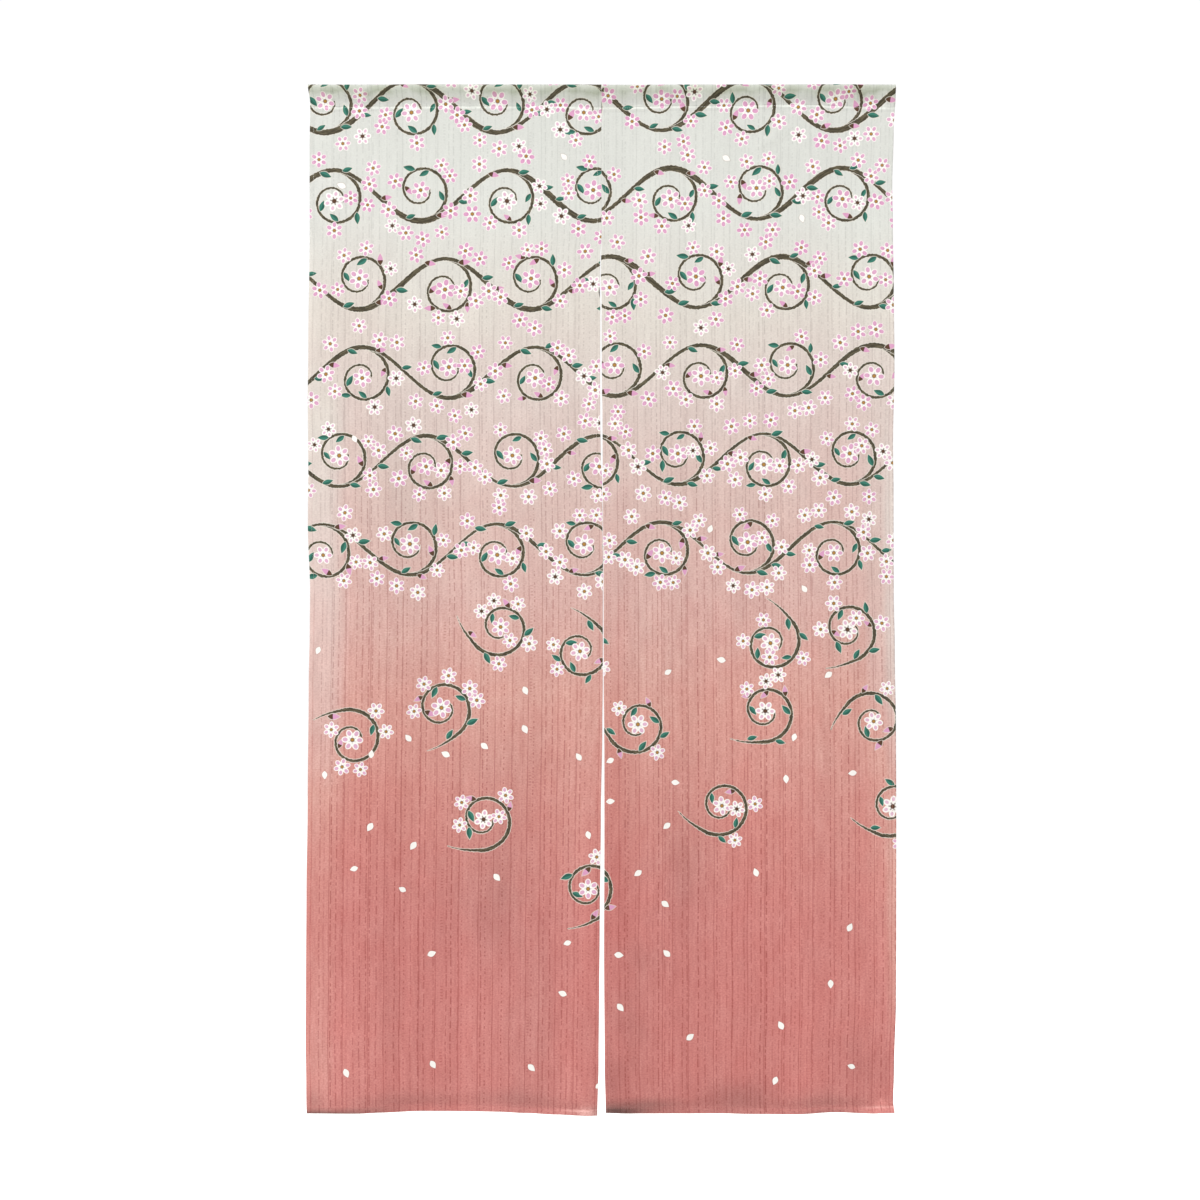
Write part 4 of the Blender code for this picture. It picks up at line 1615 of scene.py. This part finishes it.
@dataclass
class Pocket(HungSheet):
    """The top of a length, turned over to the back and stitched down round an open tunnel.

    Its section is back = b sin(turn) (1 + f cos(turn)), drop = H - h cos(turn), as the CAD strip's, and
    ends in two laps that hold the length's top edge between them. The front lap thins out onto the
    length below a soft ridge, since the cloth runs on there without an edge.
    """

    kind = "heading"
    front_share = 0.60
    stacked = True
    bulge: float = 11.6
    fullness: float = 0.55
    lap: float = 0.54
    open_to: float = 0.985            # share of each half turn that the tunnel's section runs round
    closes_from: float = 24.0         # drop from which its two sides draw in to the laps
    groove_drop: float = 34.4         # the stitches' groove in front: its drop, depth and half width
    groove_depth: float = 0.26
    groove_half: float = 1.5
    front_drops: tuple[float, ...] = (34.2, 35.0, 36.0, 37.2, 38.6, 40.2, 41.2)
    front_lap: tuple[float, ...] = (0.83, 0.67, 0.52, 0.41, 0.33, 0.27, 0.10)
    back_lap: float = 2.6
    back_steps: tuple[float, ...] = (1.0, 0.86, 0.6, 0.3)
    end_hem: float = 7.0
    end_inside: float = 0.8
    rounding: float = 0.5
    around: int = 44
    cell: float = 3.9
    slack: tuple[float, float] = (0.16, 0.10)     # long and short unevenness of the tunnel
    tuck: float = 0.14                # the puckers above the stitches: height, drop and fade
    tuck_drop: float = 27.0
    tuck_fade: float = 5.0
    near_side: tuple[float, ...] = (0.0, 0.08, 0.26, 0.6, 1.5, 3.6, 5.8, 6.75, 7.0, 7.25, 9.0)

    def mark(self, mesh: Mesh, corners: Array) -> None:
        """Store how far the line of stitches has moved the cloth, for the pocket's painted shade and
        highlight.
        """
        high_up = np.clip(np.abs(corners[..., 1]) / self.drape.pocket, 0.0, 1.0)
        store(mesh, "line", eased(STITCH_LINE, corners[..., 0]) * high_up ** 1.5)

    def section(self) -> tuple[Array, Array, Array]:
        """Run round the section from the back lap over the top to the front lap.

        Returns:
            back distance, drop and the cloth's own drop (below 0 behind), mm, each as a column.
        """
        depth = self.drape.pocket
        turn = np.linspace(self.open_to * math.pi, -self.open_to * math.pi, self.around)
        half_height, half_depth = 0.5 * depth - 0.25, 0.5 * self.bulge
        back = half_depth * np.sin(turn) * (1.0 + self.fullness * np.cos(turn))
        drop = 0.5 * depth - half_height * np.cos(turn)
        back = back + self.lap * np.sign(turn) * smooth_step((drop - self.closes_from) / 10.0)
        groove = self.groove_depth * np.exp(-(((drop - self.groove_drop) / self.groove_half) ** 2))
        back = back - groove * (turn < 0)
        steps = np.array(self.back_steps)
        back = np.concatenate([np.full(len(steps), self.lap), back, -np.array(self.front_lap)])
        drop = np.concatenate([depth + self.back_lap * steps, drop, self.front_drops])
        run = np.concatenate([[0.0], np.cumsum(np.hypot(np.diff(back), np.diff(drop)))])
        top = np.interp(0.5, np.linspace(0.0, 1.0, len(run)), run)
        return back[:, None], drop[:, None], (run - top)[:, None]

    def patch(self) -> ClothPatch:
        """The strip as a patch, rows running round the section and columns along the curtain.

        Returns:
            The patch.
        """
        back, drop, run = self.section()
        columns = hem_places(*self.drape.flat_edges(self.side), self.near_side, self.cell)
        across, cloth_drop = np.meshgrid(columns, run)
        x = self.drape.hung_across(self.side, across, drop)
        full = np.clip((self.drape.pocket - drop) / self.drape.pocket, 0.0, 1.0)
        y = back * (eased(POCKET_SWELL, x) * full ** 0.15 + (1.0 - full ** 0.15))
        long, short = self.slack
        slack = np.sin(x / 29.0 + 0.7 * np.sin(x / 67.0)) * long + np.sin(x / 11.3) * short
        tuck = self.tuck * self.drape.pucker(x) * np.exp(-np.abs(drop - self.tuck_drop) / self.tuck_fade)
        y = y + np.sign(back) * slack * np.sin(np.pi * full) + np.sign(back) * tuck
        shift = eased(STITCH_LINE, x) * (1.0 - full) ** 1.5
        follows = smooth_step((drop - self.closes_from) / 6.0)
        y = y - follows * self.drape.relief(self.side, x, drop + shift)
        top_line = 0.22 * np.sin(x / 83.0 + 1.0) + 0.12 * np.sin(x / 31.0)
        from_side = self.from_side(across)
        nearest = np.minimum(from_side, np.minimum(run - run[0], run[-1] - run))
        thinning = np.where(run > 0.0, np.clip((drop[-1] - drop) / 6.0, 0.0, 1.0), 1.0)
        thick = rounded_edge(nearest, self.rounding) * thinning
        band = hem_band(from_side, self.end_hem)
        out = (self.half_cloth + 0.12 * band) * thick
        inward = (self.half_cloth + self.end_inside * band * smooth_step(full / 0.15)) * thick
        middle = np.stack([x, y, -(drop + top_line * full + shift)], axis=-1) * MM
        # the cloth's own drop is scaled so that it runs on into the length's below the ridge
        return ClothPatch(middle, out, inward, across, cloth_drop * (drop[-1] / run[-1]) + shift)


@dataclass
class Stitching:
    """Rows of lockstitches, each stitch a small bead of thread lying along its row."""

    drape: Drape
    finish: Material
    pitch: float = 3.3
    length: float = 2.5
    thick: float = 0.36
    sides: int = 6
    proud: float = 0.02               # how far a row's middle stands off the cloth of a length
    pocket_proud: float = 0.04
    first_drop: float = 37.0          # where the side hems' rows start, and the spacing of a path's points
    spacing: float = 2.0
    whip_from: float = 38.0           # the join's stitches: where they start, pitch, slant and heights
    whip_pitch: float = 2.6
    whip_slant: float = 0.42
    whip_lifts: tuple[float, float] = (0.25, -1.15)

    def bead(self) -> tuple[Array, Array]:
        """One stitch about the origin along the first axis: radius = thick / 2 sqrt(sin(pi s)).

        Returns:
            Points by 3 in mm, and faces of 4 corners.
        """
        share = np.array([0.02, 0.16, 0.5, 0.84, 0.98])
        round_it = np.arange(self.sides) * TAU / self.sides
        radius = 0.5 * self.thick * np.sqrt(np.sin(np.pi * share))
        ring = np.stack([np.cos(round_it), np.sin(round_it)], axis=-1)
        body = np.concatenate([
            np.broadcast_to(((share - 0.5) * self.length)[:, None, None], (len(share), self.sides, 1)),
            radius[:, None, None] * ring[None]], axis=-1)
        index = np.arange(len(share) * self.sides).reshape(len(share), self.sides)
        caps = [loop[corners] for loop in (index[0], index[-1][::-1])
                for corners in ([0, 1, 2, 3], [0, 3, 4, 5])]
        walls = quads(np.concatenate([index, index[:, :1]], axis=1))
        return body.reshape(-1, 3), np.concatenate([walls, np.array(caps)])

    def beads_mesh(self, name: str, points: Array) -> Mesh:
        """Join laid beads in one mesh.

        Args:
            name: the mesh's name.
            points: beads by a bead's points by 3, metres.

        Returns:
            The mesh.
        """
        faces = self.bead()[1]
        shift = np.arange(len(points)) * points.shape[1]
        return solid_mesh(name, points.reshape(-1, 3), (faces[None] + shift[:, None, None]).reshape(-1, 4))

    def lay(self, path: Array, outward: Array) -> Array:
        """Lay stitches along one row.

        Args:
            path: the row's points in metres, close together.
            outward: the normals there.

        Returns:
            Beads by their points by 3, metres.
        """
        run = np.concatenate([[0.0], np.cumsum(np.linalg.norm(np.diff(path, axis=0), axis=1))]) / MM
        places = np.arange(0.5 * self.pitch, run[-1] - 0.4 * self.pitch, self.pitch)
        centre, ahead, up = (
            np.stack([np.interp(at, run, values[:, axis]) for axis in range(3)], axis=-1)
            for at, values in ((places, path), (places + 0.5, path), (places, outward)))
        along, up = unit(ahead - centre), unit(up)
        frame = np.stack([along, np.cross(up, along), up], axis=1)
        return centre[:, None, :] + np.einsum("pk,nkx->npx", self.bead()[0] * MM, frame)

    def on_length(self, length: Length) -> Object:
        """Sew the side hems and the bottom hem of a length, as seen on both faces.

        Args:
            length: the length.

        Returns:
            The stitches.
        """
        low, high = self.drape.flat_edges(length.side)
        inset = length.side_hem - length.side_stitch
        foot = self.drape.drop - length.hem + length.hem_stitch
        down = np.arange(self.first_drop, foot + 1.0, self.spacing)
        over = np.arange(low + 1.0, high - 0.5, self.spacing)
        rows = []
        for behind in (False, True):
            for across, drop in ((low + inset, down), (high - inset, down), (over, foot)):
                across, drop = np.broadcast_arrays(across, drop)
                front, back = length.skins(across, drop)
                normal = self.drape.normal(length.side, across, drop)
                lift = (-(back + self.proud) if behind else front + self.proud) * MM
                path = self.drape.place(length.side, across, drop) + normal * lift[..., None]
                rows.append(self.lay(path, -normal if behind else normal))
        name = "hem_stitches_" + length.side.name.lower()
        return finish_piece(self.beads_mesh(name, np.concatenate(rows)), self.finish)

    def on_pocket(self, pocket: Pocket) -> Object:
        """Sew the pocket down, as seen on both faces, on the rows nearest to its stitch line.

        Args:
            pocket: the pocket.

        Returns:
            The stitches.
        """
        patch = pocket.patch()
        normal = patch.normals()
        missed = np.abs(-patch.middle[:, 0, 2] / MM - (self.drape.pocket + 0.2))
        half = len(missed) // 2
        rows = []
        for row in (np.argmin(missed[:half]), half + np.argmin(missed[half:])):
            lift = (patch.out[row] + self.pocket_proud)[:, None] * MM
            rows.append(self.lay(patch.middle[row] + normal[row] * lift, normal[row]))
        name = "pocket_stitches_" + pocket.side.name.lower()
        return finish_piece(self.beads_mesh(name, np.concatenate(rows)), self.finish)

    def on_join(self) -> Object:
        """Whip the two lengths together down the join, each stitch crossing from one to the other.

        Returns:
            The stitches.
        """
        drops = np.arange(self.whip_from, self.drape.seam, self.whip_pitch)
        short = self.bead()[0] * np.array([0.8, 1.0, 1.0]) * MM
        forward = np.array([0.0, -1.0, 0.0])
        points = []
        for lift, slant in zip(self.whip_lifts, (self.whip_slant, -self.whip_slant)):
            centre = self.drape.place(Side.RIGHT, np.full_like(drops, 0.05), drops) + forward * lift * MM
            along = np.array([math.cos(slant), 0.0, math.sin(slant)])
            frame = np.stack([along, np.cross(forward, along), forward])
            points.append(centre[:, None, :] + short @ frame)
        mesh = self.beads_mesh("join_stitches", np.concatenate(points))
        return finish_piece(mesh, self.finish)


# ------------------------------------------------------------------ studio
class Lamp(NamedTuple):
    """A square soft light: its place and its side, metres, and its power, watts."""

    name: str
    place: tuple[float, float, float]
    size: float
    power: float


@dataclass(frozen=True)
class Studio:
    """Pale floor, soft light and a level camera straight in front of the curtain, in metres."""

    frame_width: float = 1.7492
    centre: tuple[float, float] = (-0.0022, -0.7515)
    lens: float = 100.0
    sensor: float = 36.0
    floor: float = -1.86
    floor_reach: float = 14.0
    floor_glow: float = 0.85
    sky_seen: float = 1.03
    ambient_low: float = 0.06
    ambient_high: float = 0.46
    lamps: tuple[Lamp, ...] = (
        Lamp("key", (-4.0, -7.0, 6.6), 3.2, 1230.0), Lamp("fill", (2.4, -3.4, 0.2), 2.2, 12.0),
        Lamp("behind", (2.2, 3.4, 1.4), 2.0, 60.0))

    def camera(self) -> None:
        """Stand the camera so that frame_width fills the picture in the curtain's plane."""
        data = bpy.data.cameras.new("camera")
        data.lens, data.sensor_width, data.sensor_fit = self.lens, self.sensor, "HORIZONTAL"
        data.clip_end = 60.0
        seen = bpy.data.objects.new("camera", data)
        away = self.frame_width * self.lens / self.sensor
        seen.location = (self.centre[0], -away, self.centre[1])
        seen.rotation_euler = (0.5 * math.pi, 0.0, 0.0)
        bpy.context.scene.collection.objects.link(seen)
        bpy.context.scene.camera = seen

    def floor_plane(self) -> None:
        """Lay a wide floor of pale matt board, which the camera sees as white as the surroundings."""
        corners = ((-1.0, -1.0), (1.0, -1.0), (1.0, 1.0), (-1.0, 1.0))
        points = np.array([(x * self.floor_reach, y * self.floor_reach, self.floor) for x, y in corners])
        board = bpy.data.materials.new("pale_board")
        new = blank(board)
        glow = new("MULTIPLY", new("LightPath").outputs["Is Camera Ray"], self.floor_glow)
        new("OutputMaterial", new("BsdfPrincipled", in_Base_Color=linear("C9C7C3"), in_Roughness=0.9,
                                  in_Emission_Color=(1.0, 1.0, 1.0, 1.0), in_Emission_Strength=glow))
        add_object(solid_mesh("floor", points, np.array([[0, 1, 2, 3]])), board)

    def hang(self, lamp: Lamp) -> None:
        """Hang a lamp so that it faces the curtain's middle.

        Args:
            lamp: the lamp.
        """
        data = bpy.data.lights.new(lamp.name, "AREA")
        data.shape, data.size, data.energy = "SQUARE", lamp.size, lamp.power
        lit = bpy.data.objects.new(lamp.name, data)
        lit.location = lamp.place
        aim = np.array([0.0, 0.0, self.centre[1]]) - np.array(lamp.place)
        lit.rotation_euler = (0.5 * math.pi + math.atan2(aim[2], math.hypot(aim[0], aim[1])), 0.0,
                              math.atan2(-aim[0], aim[1]))
        bpy.context.scene.collection.objects.link(lit)

    def light(self) -> None:
        """White surroundings, a key from the upper left, a low fill and a light behind."""
        world = bpy.data.worlds.new("studio")
        new = blank(world)
        up = new("SeparateXYZ", new("TexCoord").outputs["Generated"]).outputs[2]
        soft = new("MapRange", up, -0.6, 0.9, self.ambient_low, self.ambient_high)
        strength = new("Mix", new("LightPath").outputs["Is Camera Ray"], None, soft, self.sky_seen)
        new("OutputWorld", new("Background", (1.0, 1.0, 1.0, 1.0), strength))
        bpy.context.scene.world = world
        for lamp in self.lamps:
            self.hang(lamp)
        view = bpy.context.scene.view_settings
        view.view_transform, view.look = "Standard", "None"


def main() -> None:
    """Load the frame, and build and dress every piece."""
    logging.basicConfig(level=logging.INFO, format="%(name)s: %(message)s")
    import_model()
    studio = Studio()
    studio.camera()
    studio.floor_plane()
    studio.light()
    drape, printed, brightness = Drape(), ScrollPrint(), 0.80
    LOG.info("print: %d curls, %d and %d flowers, %d leaves, %d petals", len(printed.curls),
             *(len(layer.rows) for layer in printed.blooms), len(printed.leaves.rows),
             len(printed.petals.rows))
    cloth = SlubCloth("slub_polyester_printed", brightness).material()
    doubled = SlubCloth("slub_polyester_doubled_painted_shade", brightness, pocket_shade=True, pale_slub=0.21).material()
    stitching = Stitching(drape, Thread("clear_nylon_thread", brightness).material())
    for side in Side:
        length, pocket = Length(side, drape), Pocket(side, drape)
        hung, sewn = length.build(printed, cloth), stitching.on_length(length)
        turned, closed = pocket.build(printed, doubled), stitching.on_pocket(pocket)
        for piece in (hung, sewn, turned, closed):
            LOG.info("%s: %d faces", piece.name, len(piece.data.polygons))
    joined = stitching.on_join()
    LOG.info("%s: %d faces", joined.name, len(joined.data.polygons))


if __name__ == "__main__":
    main()
